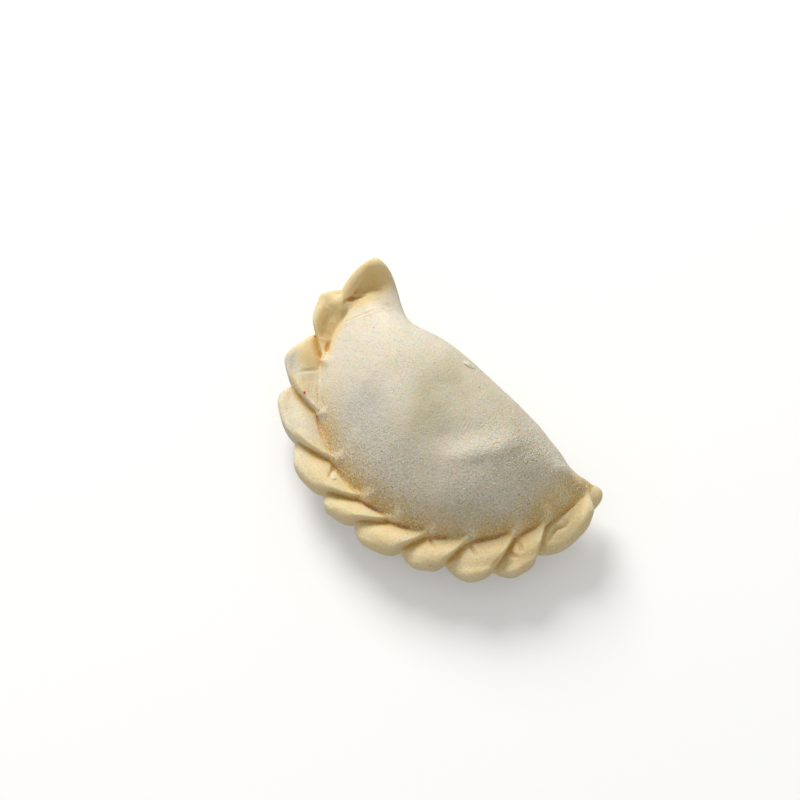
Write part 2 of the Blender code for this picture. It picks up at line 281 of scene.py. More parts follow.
class DoughSettings(bpy.types.PropertyGroup):
    """Relief and colours of the dough."""

    grain_of_mesh: bpy.props.FloatProperty(
        name="Mesh Grain",
        description="Size of the finest shape that the dough's mesh holds",
        default=0.22 * MM,
        subtype='DISTANCE',
        unit='LENGTH',
    )
    lump_height: bpy.props.FloatProperty(
        name="Lump Height",
        description="How far the filling pushes the belly in and out",
        default=0.45 * MM,
        subtype='DISTANCE',
        unit='LENGTH',
    )
    crevice_depth: bpy.props.FloatProperty(
        name="Crevice Depth",
        description="Depth of the gap between the pleats and the belly",
        default=0.75 * MM,
        subtype='DISTANCE',
        unit='LENGTH',
    )
    pinch_height: bpy.props.FloatProperty(
        name="Pinch Height",
        description="Height of the ridge that each pleat's tip pinches up on the belly",
        default=0.8 * MM,
        subtype='DISTANCE',
        unit='LENGTH',
    )
    floured_colour: bpy.props.FloatVectorProperty(
        name="Floured Colour",
        description="Colour of the dough under a film of flour",
        default=(0.83, 0.755, 0.595),
        subtype='COLOR',
    )
    bare_colour: bpy.props.FloatVectorProperty(
        name="Bare Colour",
        description="Colour of the dough where no flour lies on it",
        default=(0.89, 0.715, 0.375),
        subtype='COLOR',
    )
    filling_colour: bpy.props.FloatVectorProperty(
        name="Filling Colour",
        description="Greyish colour where the filling shows through the dough",
        default=(0.62, 0.58, 0.48),
        subtype='COLOR',
    )
    # Partly the moist dough's own olive colour, partly painted shade on the middle and right of the belly
    moist_olive_and_shade: bpy.props.FloatVectorProperty(
        name="Moist Colour",
        description="Olive colour where the dough is moist and has little flour",
        default=(0.56, 0.495, 0.31),
        subtype='COLOR',
    )
    # Painted highlight on the thin edges of the pleats
    edge_highlight_colour: bpy.props.FloatVectorProperty(
        name="Edge Colour",
        description="Pale colour of the thin edges of the pleats",
        default=(0.90, 0.80, 0.54),
        subtype='COLOR',
    )
    # Painted shade in the fine pits of the grain, strongest low and to the right of the belly, where it lies in
    # shade
    pit_shade_colour: bpy.props.FloatVectorProperty(
        name="Pit Colour",
        description="Colour of the fine pits between the grains of the dough",
        default=(0.44, 0.34, 0.16),
        subtype='COLOR',
    )
    # Partly the belly's own warm colour by the seam, partly painted shade in the valley between the belly and the
    # pleats and under each free edge
    seam_tint_and_shade: bpy.props.FloatVectorProperty(
        name="Seam Colour",
        description="Warm colour of the belly beside the pleats",
        default=(0.70, 0.45, 0.09),
        subtype='COLOR',
    )
    # Painted warm shade, laid where the dough round a point hides its outlook: it stands in for the shade and the
    # light glowing through the dough deep between the folds
    crevice_shade_colour: bpy.props.FloatVectorProperty(
        name="Crevice Colour",
        description="Warm colour deep between the folds",
        default=(0.82, 0.50, 0.15),
        subtype='COLOR',
    )


class FlourSettings(bpy.types.PropertyGroup):
    """Loose grains of flour."""

    count: bpy.props.IntProperty(
        name="Grains",
        description="Number of loose grains of flour",
        default=9000,
        min=0,
    )
    smallest: bpy.props.FloatProperty(
        name="Smallest",
        description="Diameter of the smallest grain",
        default=0.09 * MM,
        subtype='DISTANCE',
        unit='LENGTH',
    )
    largest: bpy.props.FloatProperty(
        name="Largest",
        description="Diameter of the largest grain",
        default=0.27 * MM,
        subtype='DISTANCE',
        unit='LENGTH',
    )
    colour: bpy.props.FloatVectorProperty(
        name="Colour",
        description="Colour of loose flour",
        default=(0.96, 0.94, 0.88),
        subtype='COLOR',
    )


class SpeckSettings(bpy.types.PropertyGroup):
    """Specks of bran and paprika in the dough."""

    count: bpy.props.IntProperty(
        name="Bran Specks",
        description="Number of bran specks in the dough",
        default=34,
        min=0,
    )
    size: bpy.props.FloatProperty(
        name="Size",
        description="Diameter of a middling speck",
        default=0.25 * MM,
        subtype='DISTANCE',
        unit='LENGTH',
    )
    bran_colour: bpy.props.FloatVectorProperty(
        name="Bran Colour",
        description="Colour of the bran specks",
        default=(0.66, 0.42, 0.18),
        subtype='COLOR',
    )
    red_colour: bpy.props.FloatVectorProperty(
        name="Red Colour",
        description="Colour of the two red specks on the rim",
        default=(0.72, 0.07, 0.10),
        subtype='COLOR',
    )


class StageSettings(bpy.types.PropertyGroup):
    """Floor, lights and camera."""

    floor_colour: bpy.props.FloatVectorProperty(
        name="Floor Colour",
        description="Colour of the plain floor",
        default=(0.93, 0.93, 0.92),
        subtype='COLOR',
    )
    key_power: bpy.props.FloatProperty(
        name="Key Power",
        description="Power of the large soft light",
        default=17.0,
        subtype='POWER',
        unit='POWER',
    )
    fill: bpy.props.FloatProperty(
        name="Fill",
        description="Brightness of the even light from all round",
        default=0.45,
        min=0.0,
    )
    azimuth: bpy.props.FloatProperty(
        name="Azimuth",
        description="Turn of the camera round the dumpling",
        default=math.radians(46.0),
        subtype='ANGLE',
        unit='ROTATION',
    )
    elevation: bpy.props.FloatProperty(
        name="Elevation",
        description="Height of the camera above the horizon",
        default=math.radians(68.0),
        subtype='ANGLE',
        unit='ROTATION',
    )
    lens: bpy.props.FloatProperty(
        name="Lens",
        description="Focal length of the camera in millimetres",
        default=85.0,
    )


# Shapes in general ----------------------------------------------------------

def smooth_step(value):
    """Ease from 0 to 1 as value goes from 0 to 1."""
    value = np.clip(value, 0.0, 1.0)
    return value * value * (3.0 - 2.0 * value)


def curve_through(points, count):
    """Smooth curve (Catmull-Rom) through points, as an array of count rows."""
    points = np.asarray(points, dtype=float)
    before = 2.0 * points[0] - points[1]
    after = 2.0 * points[-1] - points[-2]
    padded = np.vstack((before, points, after))
    spans = len(points) - 1
    places = np.linspace(0.0, spans, count)
    span = np.minimum(places.astype(int), spans - 1)
    t = (places - span)[:, None]
    p0, p1, p2, p3 = (padded[span + step] for step in range(4))
    linear = (p2 - p0) * t
    square = (2.0 * p0 - 5.0 * p1 + 4.0 * p2 - p3) * t ** 2
    cube = (3.0 * p1 - p0 - 3.0 * p2 + p3) * t ** 3
    return 0.5 * (2.0 * p1 + linear + square + cube)


def path_frames(route):
    """Side and face directions along a route."""
    heading = np.gradient(route, axis=0)
    heading /= np.linalg.norm(heading, axis=1)[:, None]
    side = np.cross(heading, (0.0, 0.0, 1.0))
    side /= np.linalg.norm(side, axis=1)[:, None]
    return side, np.cross(side, heading)


def plan(polar):
    """Flat x and y of pairs of angle and radius."""
    angle = np.radians(polar[..., 0])
    return polar[..., 1:2] * np.stack((np.cos(angle), np.sin(angle)), axis=-1)


def polar_of(points):
    """Angle from 90 to 450 degrees and radius of points about the arc's centre."""
    angle = np.degrees(np.arctan2(points[:, 1], points[:, 0]))
    return np.where(angle < 90.0, angle + 360.0, angle), np.hypot(points[:, 0], points[:, 1])


def layered_noise(points, size, seed, layers=2):
    """Even noise from -1 to 1 with lumps of the given size, at each point."""
    offset = Vector((17.3 * seed, -9.1 * seed, 5.7 * seed))
    values = np.zeros(len(points))
    for row, point in enumerate(points):
        place = Vector(point) / size + offset
        total = 0.0
        for layer in range(layers):
            total += noise.noise(place * 2.0 ** layer) * 0.5 ** layer
        values[row] = total
    return values


def new_mesh(name, points, faces):
    """Mesh from an array of points and a list or array of faces."""
    mesh = bpy.data.meshes.new(name)
    mesh.from_pydata(np.asarray(points).tolist(), [], np.asarray(faces).tolist()
                     if isinstance(faces, np.ndarray) else faces)
    return mesh


def new_object(name, mesh):
    """Object for a mesh, in the scene's collection."""
    item = bpy.data.objects.new(name, mesh)
    bpy.context.scene.collection.objects.link(item)
    return item


def facing_out(points, faces):
    """Object of one closed shape whose faces all point outwards."""
    mesh = new_mesh("shape", points, faces)
    shape = bmesh.new()
    shape.from_mesh(mesh)
    bmesh.ops.recalc_face_normals(shape, faces=shape.faces)
    if shape.calc_volume(signed=True) < 0.0:
        bmesh.ops.reverse_faces(shape, faces=shape.faces)
    shape.to_mesh(mesh)
    shape.free()
    return new_object("shape", mesh)


def ring_faces(rows, around):
    """Quads between rings of points stored one after the other."""
    faces = []
    for row in range(rows - 1):
        for place in range(around):
            here = row * around + place
            beside = row * around + (place + 1) % around
            faces.append((here, beside, beside + around, here + around))
    return faces


def tube(rings):
    """Closed object from rings of points, capped at both ends."""
    rows, around = rings.shape[:2]
    faces = ring_faces(rows, around)
    faces.append(tuple(range(around)))
    faces.append(tuple(range((rows - 1) * around, rows * around)))
    return facing_out(rings.reshape(-1, 3), faces)


# Belly ----------------------------------------------------------------------

def belly_reach(across, forward):
    """Distance from the belly's peak to its outline in the given directions.

    In front the outline is the seam's arc and behind it is the folded edge,
    bulging in the middle, with a soft corner where the two meet.
    """
    half = BELLY_PEAK_Y * forward
    to_seam = -half + np.sqrt(half ** 2 + SEAM_RADIUS ** 2 - BELLY_PEAK_Y ** 2)
    to_end = np.abs(across) / 0.87
    fold = FOLD_BACK - np.where(across < 0.0, HORN_WAIST * to_end ** 4, TAIL_WAIST * to_end ** 12)
    to_fold = (fold - BELLY_PEAK_Y) / np.maximum(forward, 1e-3)
    inverse = to_seam ** -CORNER_SHARPNESS + to_fold ** -CORNER_SHARPNESS
    return inverse ** (-1.0 / CORNER_SHARPNESS)


def belly(rings=80, spokes=320):
    """Filled belly: a domed top and a flatter underside over a half-moon."""
    angles = np.linspace(0.0, 2.0 * math.pi, spokes, endpoint=False)
    across = np.cos(angles)
    forward = np.sin(angles)
    reach = belly_reach(across, forward)
    behind = smooth_step(0.5 + 0.8 * forward)
    edge = SEAM_HEIGHT + (FOLD_HEIGHT - SEAM_HEIGHT) * behind
    steepness = 0.72 - 0.16 * behind + 0.20 * across ** 4
    fullness = 2.1 + 0.4 * behind
    top = []
    bottom = []
    for share in np.linspace(0.0, 1.0, rings + 1)[1:]:
        spread = math.sin(share * math.pi / 2.0)
        x = reach * spread * across
        y = BELLY_PEAK_Y + reach * spread * forward
        dome = np.maximum(1.0 - spread ** fullness, 0.0) ** steepness
        bowl = np.maximum(1.0 - spread ** 3.0, 0.0) ** 0.6
        top.append(np.column_stack((x, y, edge + (BELLY_TOP - edge) * dome)))
        bottom.append(np.column_stack((x, y, edge - (edge + FLOOR_SINK) * bowl)))
    rows = bottom[:-1] + top[::-1]
    poles = ((0.0, BELLY_PEAK_Y, -FLOOR_SINK), (0.0, BELLY_PEAK_Y, BELLY_TOP))
    points = np.vstack(rows + [np.array(poles)])
    faces = ring_faces(len(rows), spokes)
    low = len(rows) * spokes
    last = low - spokes
    for spoke in range(spokes):
        beside = (spoke + 1) % spokes
        faces.append((low, beside, spoke))
        faces.append((low + 1, last + spoke, last + beside))
    return facing_out(points, faces)


# Pleats ---------------------------------------------------------------------

def free_edge_angle(pleat, radius):
    """Angle of a pleat's free edge at a radius."""
    tip, lean, _, notch_radius, _ = pleat
    return tip - lean * (radius - SEAM_RADIUS) / (notch_radius - SEAM_RADIUS)


def rim_top(angle, radius):
    """Mean height of the rim's top: it droops outwards and rises to the horn."""
    rise = RIM_RISE * smooth_step((207.0 - angle) / 20.0)
    droop = RIM_UPTURN + (RIM_DROOP - RIM_UPTURN) * smooth_step((angle - 196.0) / 36.0)
    return RIM_TOP + rise - droop * (radius - SEAM_RADIUS)


def pleat_top(before, pleat, angle, radius):
    """Height of a pleat's top: low where it comes out from under the pleat
    before it, high at its own free edge, like a roof tile."""
    start = free_edge_angle(before, radius)
    end = free_edge_angle(pleat, radius)
    along = (angle - start) / (end - start)
    seen = 1.0 - np.clip(1.0 - along, 0.0, 1.0) ** 1.6
    rise = np.where(along > 0.0, seen, 2.2 * along)
    outward = (radius - SEAM_RADIUS) / RIM_WIDTH
    crown = PLEAT_CROWN * np.sin(np.clip(outward, 0.0, 1.2) / 1.2 * math.pi)
    pinch = TIP_LIFT * np.exp(-((angle - pleat[0]) / 3.5) ** 2 - (outward / 0.32) ** 2)
    step = SEAM_STEP + (PLEAT_STEP - SEAM_STEP) * smooth_step(outward / 0.9)
    return rim_top(angle, radius) + step * (rise - 0.5) + crown + pinch


def pleat_edges(before, pleat, count):
    """Inner edge, along the seam, and outer edge, round the scallop and up the
    free edge, both from the hidden start to the pointed tip."""
    tip, lean, reach, notch_radius, fullest = pleat
    notch = tip - lean
    old_tip = before[0]
    old_notch = old_tip - before[1]
    width = notch - old_notch
    seam = SEAM_RADIUS - TIP_OVERLAP
    start = (old_tip - TUCK, SEAM_RADIUS - 0.4)
    end = (tip + 0.4, seam)
    inner = (start, (old_tip, seam + 0.1), (0.5 * (old_tip + tip), seam - 0.2), end)
    outer = (
        start,
        (old_notch - TUCK, before[3] - 2.5),
        (old_notch + 0.3, before[3] - 0.2),
        (old_notch + 0.5 * fullest * width, before[3] + (1.9 - 2.2 * fullest) * (reach - before[3])),
        (old_notch + fullest * width, reach),
        (notch - 0.10 * width, 0.5 * (reach + notch_radius)),
        (notch + 0.3 * lean, notch_radius - 1.4),
        end,
    )
    return curve_through(inner, count), curve_through(outer, count)


def edge_roll(before, pleat, flat, samples=200):
    """How far the surface rolls away near the pleat's edges, at flat places:
    widely at the folded scallop, tightly at the cut free edge."""
    inner, outer = pleat_edges(before, pleat, samples)
    cut = smooth_step((np.linspace(0.0, 1.0, samples) - 0.62) / 0.12)
    outer_size = SCALLOP_ROUND + (CUT_EDGE_ROUND - SCALLOP_ROUND) * cut
    sizes = np.concatenate((np.full(samples, SEAM_EDGE_ROUND), outer_size))
    edges = plan(np.vstack((inner, outer)))
    gaps = np.linalg.norm(flat[:, :, None, :] - edges, axis=-1)
    size = sizes[gaps.argmin(axis=-1)]
    inside = np.clip(gaps.min(axis=-1) / size, 0.0, 1.0)
    return size * (1.0 - np.sqrt(1.0 - (1.0 - inside) ** 2))


def pleat_leaf(before, pleat, rows=97, columns=33):
    """One pleat: a leaf of dough between its inner and its outer edge, whose
    free edge overhangs its foot a little."""
    inner, outer = pleat_edges(before, pleat, rows)
    across = 0.5 - 0.5 * np.cos(np.linspace(0.0, math.pi, columns))[None, :, None]
    polar = inner[:, None, :] * (1.0 - across) + outer[:, None, :] * across
    flat = plan(polar)
    angle = polar[..., 0]
    radius = polar[..., 1]
    roll = edge_roll(before, pleat, flat)
    floor = rim_top(angle, radius) - RIM_THICKNESS
    top = np.maximum(pleat_top(before, pleat, angle, radius) - roll, floor + LEAST_DOUGH)
    low = np.minimum(floor + UNDER_ROUND * roll, top - 0.5 * LEAST_DOUGH)
    start = free_edge_angle(before, radius)
    along = (angle - start) / (free_edge_angle(pleat, radius) - start)
    foot = polar.copy()
    foot[..., 0] -= UNDERCUT * smooth_step(2.0 * along - 1.0)
    upper = np.concatenate((flat, top[..., None]), axis=-1)
    lower = np.concatenate((plan(foot), low[..., None]), axis=-1)
    return tube(np.concatenate((upper, lower[:, ::-1]), axis=1))


# Ends of the rim ------------------------------------------------------------

def flap(size, rows=60, around=72):
    """Flap of pinched dough, cupped upwards, with a rounded tip."""
    foot, bend, tip, foot_width, tip_width, thickness, cup = size
    spine = curve_through((foot, bend, tip), rows)
    side, face = path_frames(spine)
    along = np.linspace(0.0, 1.0, rows)
    half = 0.5 * (foot_width + (tip_width - foot_width) * along)
    half *= np.sqrt(1.0 - np.clip((along - 0.70) / 0.303, 0.0, 1.0) ** 2)
    turn = np.linspace(0.0, 2.0 * math.pi, around, endpoint=False)
    rings = []
    for row in range(rows):
        thick = 0.5 * thickness * min(1.0, half[row] / 2.0 + 0.2)
        reach = half[row] * np.cos(turn)
        rise = thick * np.sin(turn) + cup * (2.0 * reach / foot_width) ** 2
        rings.append(spine[row] + reach[:, None] * side[row] + rise[:, None] * face[row])
    return tube(np.array(rings))


def roll(places, rows=60, around=32):
    """Tapering roll of dough along a middle line."""
    route = curve_through(places, rows)
    side, face = path_frames(route[:, :3])
    turn = np.linspace(0.0, 2.0 * math.pi, around, endpoint=False)
    rings = []
    for row in range(rows):
        ring = np.cos(turn)[:, None] * side[row] + np.sin(turn)[:, None] * face[row]
        rings.append(route[row, :3] + 0.5 * route[row, 3] * ring)
    return tube(np.array(rings))


def horn_lip(rows=80, around=24):
    """Edge rolled over the horn's outer side, thin at both ends."""
    route = curve_through(LIP_ROUTE, rows)
    side, face = path_frames(route)
    turn = np.linspace(0.0, 2.0 * math.pi, around, endpoint=False)
    swell = 0.5 * LIP_DIAMETER * np.sqrt(np.sin(np.linspace(0.12, math.pi - 0.12, rows)))
    rings = []
    for row in range(rows):
        ring = np.cos(turn)[:, None] * side[row] + np.sin(turn)[:, None] * face[row]
        rings.append(route[row] + swell[row] * ring)
    return tube(np.array(rings))


def ball(place, size, detail=3):
    """Rounded lump of the given size at a place."""
    mesh = bpy.data.meshes.new("shape")
    shape = bmesh.new()
    bmesh.ops.create_icosphere(shape, subdivisions=detail, radius=0.5)
    for vertex in shape.verts:
        vertex.co = Vector(place) + vertex.co * Vector(size)
    shape.to_mesh(mesh)
    shape.free()
    return new_object("shape", mesh)


# Uniting and relief ---------------------------------------------------------

def joined(items):
    """One object from the meshes of several, which it takes the place of."""
    whole = bmesh.new()
    for item in items:
        whole.from_mesh(item.data)
        bpy.data.objects.remove(item, do_unlink=True)
    mesh = bpy.data.meshes.new("dough")
    whole.to_mesh(mesh)
    whole.free()
    return new_object("dough", mesh)


def with_modifiers(item):
    """Replace an object's mesh by the one that its modifiers make."""
    graph = bpy.context.evaluated_depsgraph_get()
    made = bpy.data.meshes.new_from_object(item.evaluated_get(graph))
    item.modifiers.clear()
    item.data = made


def mesh_points(mesh):
    """Points of a mesh as an array."""
    points = np.empty(3 * len(mesh.vertices))
    mesh.vertices.foreach_get("co", points)
    return points.reshape(-1, 3)


def mesh_normals(mesh):
    """Outward direction at each point of a mesh, as an array."""
    normals = np.empty(3 * len(mesh.vertices), dtype=np.float32)
    mesh.vertex_normals.foreach_get("vector", normals)
    return normals.reshape(-1, 3).astype(float)


def mesh_tree(mesh):
    """Search tree of a mesh's surface."""
    shape = bmesh.new()
    shape.from_mesh(mesh)
    tree = BVHTree.FromBMesh(shape)
    shape.free()
    return tree


def above(tree, place):
    """Point of the upper side above a place in plan."""
    hit = tree.ray_cast(Vector((place[0], place[1], 2.0 * BELLY_TOP)), Vector((0.0, 0.0, -1.0)))[0]
    if hit is None:
        raise RuntimeError(f"nothing of the dough lies at {tuple(place)}")
    return np.array(hit)


def stroke(points, route, width, samples=60):
    """Share from 0 to 1 of a ridge or crease along a route, at each point."""
    line = curve_through(route, samples)
    low = line.min(axis=0) - 3.0 * width
    high = line.max(axis=0) + 3.0 * width
    near = np.flatnonzero(np.all((points > low) & (points < high), axis=1))
    gaps = np.linalg.norm(points[near, None, :] - line, axis=-1)
    closest = gaps.argmin(axis=1)
    ends = np.sqrt(np.sin(np.linspace(0.02, math.pi - 0.02, samples)))
    share = np.zeros(len(points))
    share[near] = ends[closest] * np.exp(-(gaps.min(axis=1) / width) ** 2)
    return share


def seam_valley(tree, angle):
    """Lowest point of the upper side across the seam at an angle."""
    radii = np.linspace(SEAM_RADIUS - 2.4, SEAM_RADIUS + 0.8, 17)
    places = plan(np.column_stack((np.full(len(radii), angle), radii)))
    found = [above(tree, place) for place in places]
    return min(found, key=lambda point: point[2])


def crevices(points, tree, depth):
    """Gaps between the pleats' inner edges and the belly."""
    height = np.zeros(len(points))
    for before, pleat, (share, start, end) in zip(PLEATS[:-1], PLEATS[1:], CREVICES):
        angles = before[0] + (pleat[0] - before[0]) * np.linspace(start, end, 4)
        route = [seam_valley(tree, angle) for angle in angles]
        height -= share * depth * stroke(points, route, 0.22 + 0.08 * share)
    return height


def pinches(points, tree, size):
    """Ridges that the tips of the pleats pinch up on the belly."""
    height = np.zeros(len(points))
    for tip in (pleat[0] for pleat in PLEATS[1:-1]):
        polar = np.array(((tip - 1.0, SEAM_RADIUS + 0.4), (tip + 0.8, SEAM_RADIUS - 1.0), (tip + 2.4, SEAM_RADIUS - 2.6)))
        route = [above(tree, place) for place in plan(polar)]
        height += size * stroke(points, route, 1.1)
    return height


def undercuts(points, tree, depth):
    """Shadowed grooves at the foot of each free edge."""
    height = np.zeros(len(points))
    for pleat in PLEATS[1:-1]:
        radii = np.array((SEAM_RADIUS + 1.0, SEAM_RADIUS + 2.4, SEAM_RADIUS + 3.8))
        angles = np.array([free_edge_angle(pleat, radius) for radius in radii]) + 1.0
        route = [above(tree, place) for place in plan(np.column_stack((angles, radii)))]
        height -= depth * stroke(points, route, 0.4)
    return height


def named_relief(points, tree):
    """Creases, ridges, dents and wrinkles at their own places."""
    height = np.zeros(len(points))
    for size, width, places in STROKES:
        route = [above(tree, place) for place in places]
        height += size * stroke(points, route, width)
    for size, radius, place in DENTS:
        gaps = np.linalg.norm(points - above(tree, place), axis=1)
        height += size * np.exp(-(gaps / radius) ** 2)
    size, spacing, radius, place, direction = WRINKLES
    middle = above(tree, place)
    away = points - middle
    turn = math.radians(direction)
    across = away[:, 0] * math.cos(turn) + away[:, 1] * math.sin(turn)
    patch = np.exp(-(np.linalg.norm(away, axis=1) / radius) ** 2)
    height += size * patch * np.sin(2.0 * math.pi * across / spacing)
    return height


def belly_share(points):
    """Share from 0, on the rim, the horn and the tail, to 1, on the belly."""
    radius = polar_of(points)[1]
    inside = smooth_step((SEAM_RADIUS - 0.6 - radius) / 2.4)
    from_horn = np.where(points[:, 1] > -4.0, smooth_step((points[:, 0] + 31.5) / 3.5), 1.0)
    from_tail = smooth_step((33.0 - points[:, 0]) / 6.0)
    return inside * from_horn * from_tail


def blend_webs(dough):
    """Smooth the dough where its flaps grow out of the belly."""
    points = mesh_points(dough.data)
    share = np.zeros(len(points))
    for radius, place in WEBS:
        share = np.maximum(share, patch(points, place, radius))
    angle, radius = polar_of(points)
    seam = np.exp(-((radius - SEAM_RADIUS + 0.4) / 1.5) ** 2) * smooth_step((angle - 205.0) / 8.0)
    share = np.maximum(share, SEAM_BLEND * seam)
    share *= smooth_step((points[:, 2] - 5.0) / 4.0)
    group = dough.vertex_groups.new(name="webs")
    for row in np.flatnonzero(share > 0.02):
        group.add([int(row)], float(share[row]), 'REPLACE')
    blend = dough.modifiers.new("blend", 'SMOOTH')
    blend.factor = 0.5
    blend.iterations = 120
    blend.vertex_group = group.name
    with_modifiers(dough)


def dough_mesh(settings):
    """The whole dough in millimetres: its shapes united, with all their relief."""
    items = [belly(), flap(HORN), horn_lip(), flap(TAIL)]
    items.extend(ball(place, size, 4) for place, size in LUMPS)
    items.extend(roll(places) for places in ROLLS)
    for before, pleat in zip(PLEATS[:-1], PLEATS[1:]):
        items.append(pleat_leaf(before, pleat))
    dough = joined(items)
    unite = dough.modifiers.new("unite", 'REMESH')
    unite.mode = 'VOXEL'
    unite.voxel_size = settings.grain_of_mesh / MM
    soften = dough.modifiers.new("soften", 'SMOOTH')
    soften.factor = 0.5
    soften.iterations = 2
    with_modifiers(dough)
    blend_webs(dough)

    points = mesh_points(dough.data)
    normals = mesh_normals(dough.data)
    tree = mesh_tree(dough.data)
    filled = belly_share(points)
    lumps = layered_noise(points, 13.0, 1) * settings.lump_height / MM
    small = layered_noise(points, 3.6, 2, 2)
    grain = layered_noise(points, 1.1, 4, 2)
    height = filled * lumps + 0.07 * small + 0.02 * grain
    height += crevices(points, tree, settings.crevice_depth / MM)
    height += pinches(points, tree, settings.pinch_height / MM)
    height += undercuts(points, tree, 0.12)
    height += named_relief(points, tree)
    points += height[:, None] * normals
    points[:, 2] = np.maximum(points[:, 2], 0.0)
    dough.data.vertices.foreach_set("co", points.ravel())

    settle = dough.modifiers.new("settle", 'SMOOTH')
    settle.factor = 0.5
    settle.iterations = 2
    thin = dough.modifiers.new("thin", 'DECIMATE')
    thin.ratio = min(1.0, 96000 / len(dough.data.polygons))
    with_modifiers(dough)
    points = mesh_points(dough.data)
    points[:, 2] = np.maximum(points[:, 2], 0.0)
    dough.data.vertices.foreach_set("co", points.ravel())
    return dough


# Masks on the dough ---------------------------------------------------------

def hollow_share(mesh, points, normals, reach=4.0, rays=20):
    """How much of its outlook each point near the rim loses to the dough round it."""
    tree = mesh_tree(mesh)
    steps = np.arange(rays) + 0.5
    lift = np.sqrt(1.0 - steps / rays)
    flat = np.sqrt(steps / rays)
    turn = steps * math.pi * (3.0 - math.sqrt(5.0))
    local = np.column_stack((flat * np.cos(turn), flat * np.sin(turn), lift))
    helper = np.where(np.abs(normals[:, 2:3]) < 0.9, (0.0, 0.0, 1.0), (1.0, 0.0, 0.0))
    first = np.cross(helper, normals)
    first /= np.linalg.norm(first, axis=1)[:, None]
    second = np.cross(normals, first)
    origins = points + 0.06 * normals
    hidden = np.zeros(len(points))
    for row in np.flatnonzero(belly_share(points) < 0.999):
        origin = Vector(origins[row])
        directions = local @ np.array((first[row], second[row], normals[row]))
        for direction in directions:
            distance = tree.ray_cast(origin, Vector(direction), reach)[3]
            if distance is not None:
                hidden[row] += 1.0 - distance / reach
    return hidden / rays


def spread_over_edges(mesh, values, rounds):
    """Values at the points of a mesh, evened out with their neighbours."""
    edges = np.empty(2 * len(mesh.edges), dtype=np.int32)
    mesh.edges.foreach_get("vertices", edges)
    one, other = edges.reshape(-1, 2).T
    count = np.bincount(one, minlength=len(values)) + np.bincount(other, minlength=len(values)) + 1.0
    for _ in range(rounds):
        total = values.copy()
        total += np.bincount(one, weights=values[other], minlength=len(values))
        total += np.bincount(other, weights=values[one], minlength=len(values))
        values = total / count
    return values


def add_mask(mesh, name, values):
    """Store values from 0 to 1 on the points of a mesh."""
    layer = mesh.attributes.new(name, 'FLOAT', 'POINT')
    layer.data.foreach_set("value", np.clip(values, 0.0, 1.0).astype(np.float32))


def patch(points, place, radius):
    """Soft round patch about a place."""
    gaps = np.linalg.norm(points[:, :2] - np.array(place), axis=1)
    return np.exp(-(gaps / radius) ** 2)


def patches(points, places):
    """Sum of soft round patches, each with its own strength and radius."""
    return sum(strength * patch(points, place, radius) for strength, radius, place in places)


def wedge_share(angle, radius):
    """Share from 0 to 1 of how near each place is to the free edge over it."""
    share = np.zeros(len(angle))
    for before in PLEATS[1:-1]:
        gap = np.radians(angle - free_edge_angle(before, radius)) * radius
        near = np.exp(-(gap / WEDGE_WIDTH) ** 2) * smooth_step((gap + 0.6) / 0.6)
        share = np.maximum(share, near * smooth_step((before[3] + 1.0 - radius) / 2.0))
    return share * smooth_step((radius - SEAM_RADIUS + 0.2) / 1.2)


def tip_share(points):
    """Share from 0 to 1 of how near each place is to the end of a pleat's tip."""
    polar = np.array([(pleat[0] + 1.6, SEAM_RADIUS - 0.9) for pleat in PLEATS[1:-1]])
    gaps = np.linalg.norm(points[:, None, :2] - plan(polar), axis=-1)
    return np.exp(-(gaps.min(axis=1) / TIP_WIDTH) ** 2)


def edge_share(mesh, points, normals):
    """Share from 0 to 1 of how sharply the dough turns outwards at each point."""
    evened = np.column_stack([spread_over_edges(mesh, points[:, axis], 12) for axis in range(3)])
    proud = np.einsum("ij,ij->i", points - evened, normals)
    return smooth_step((proud - 0.03) / 0.16)


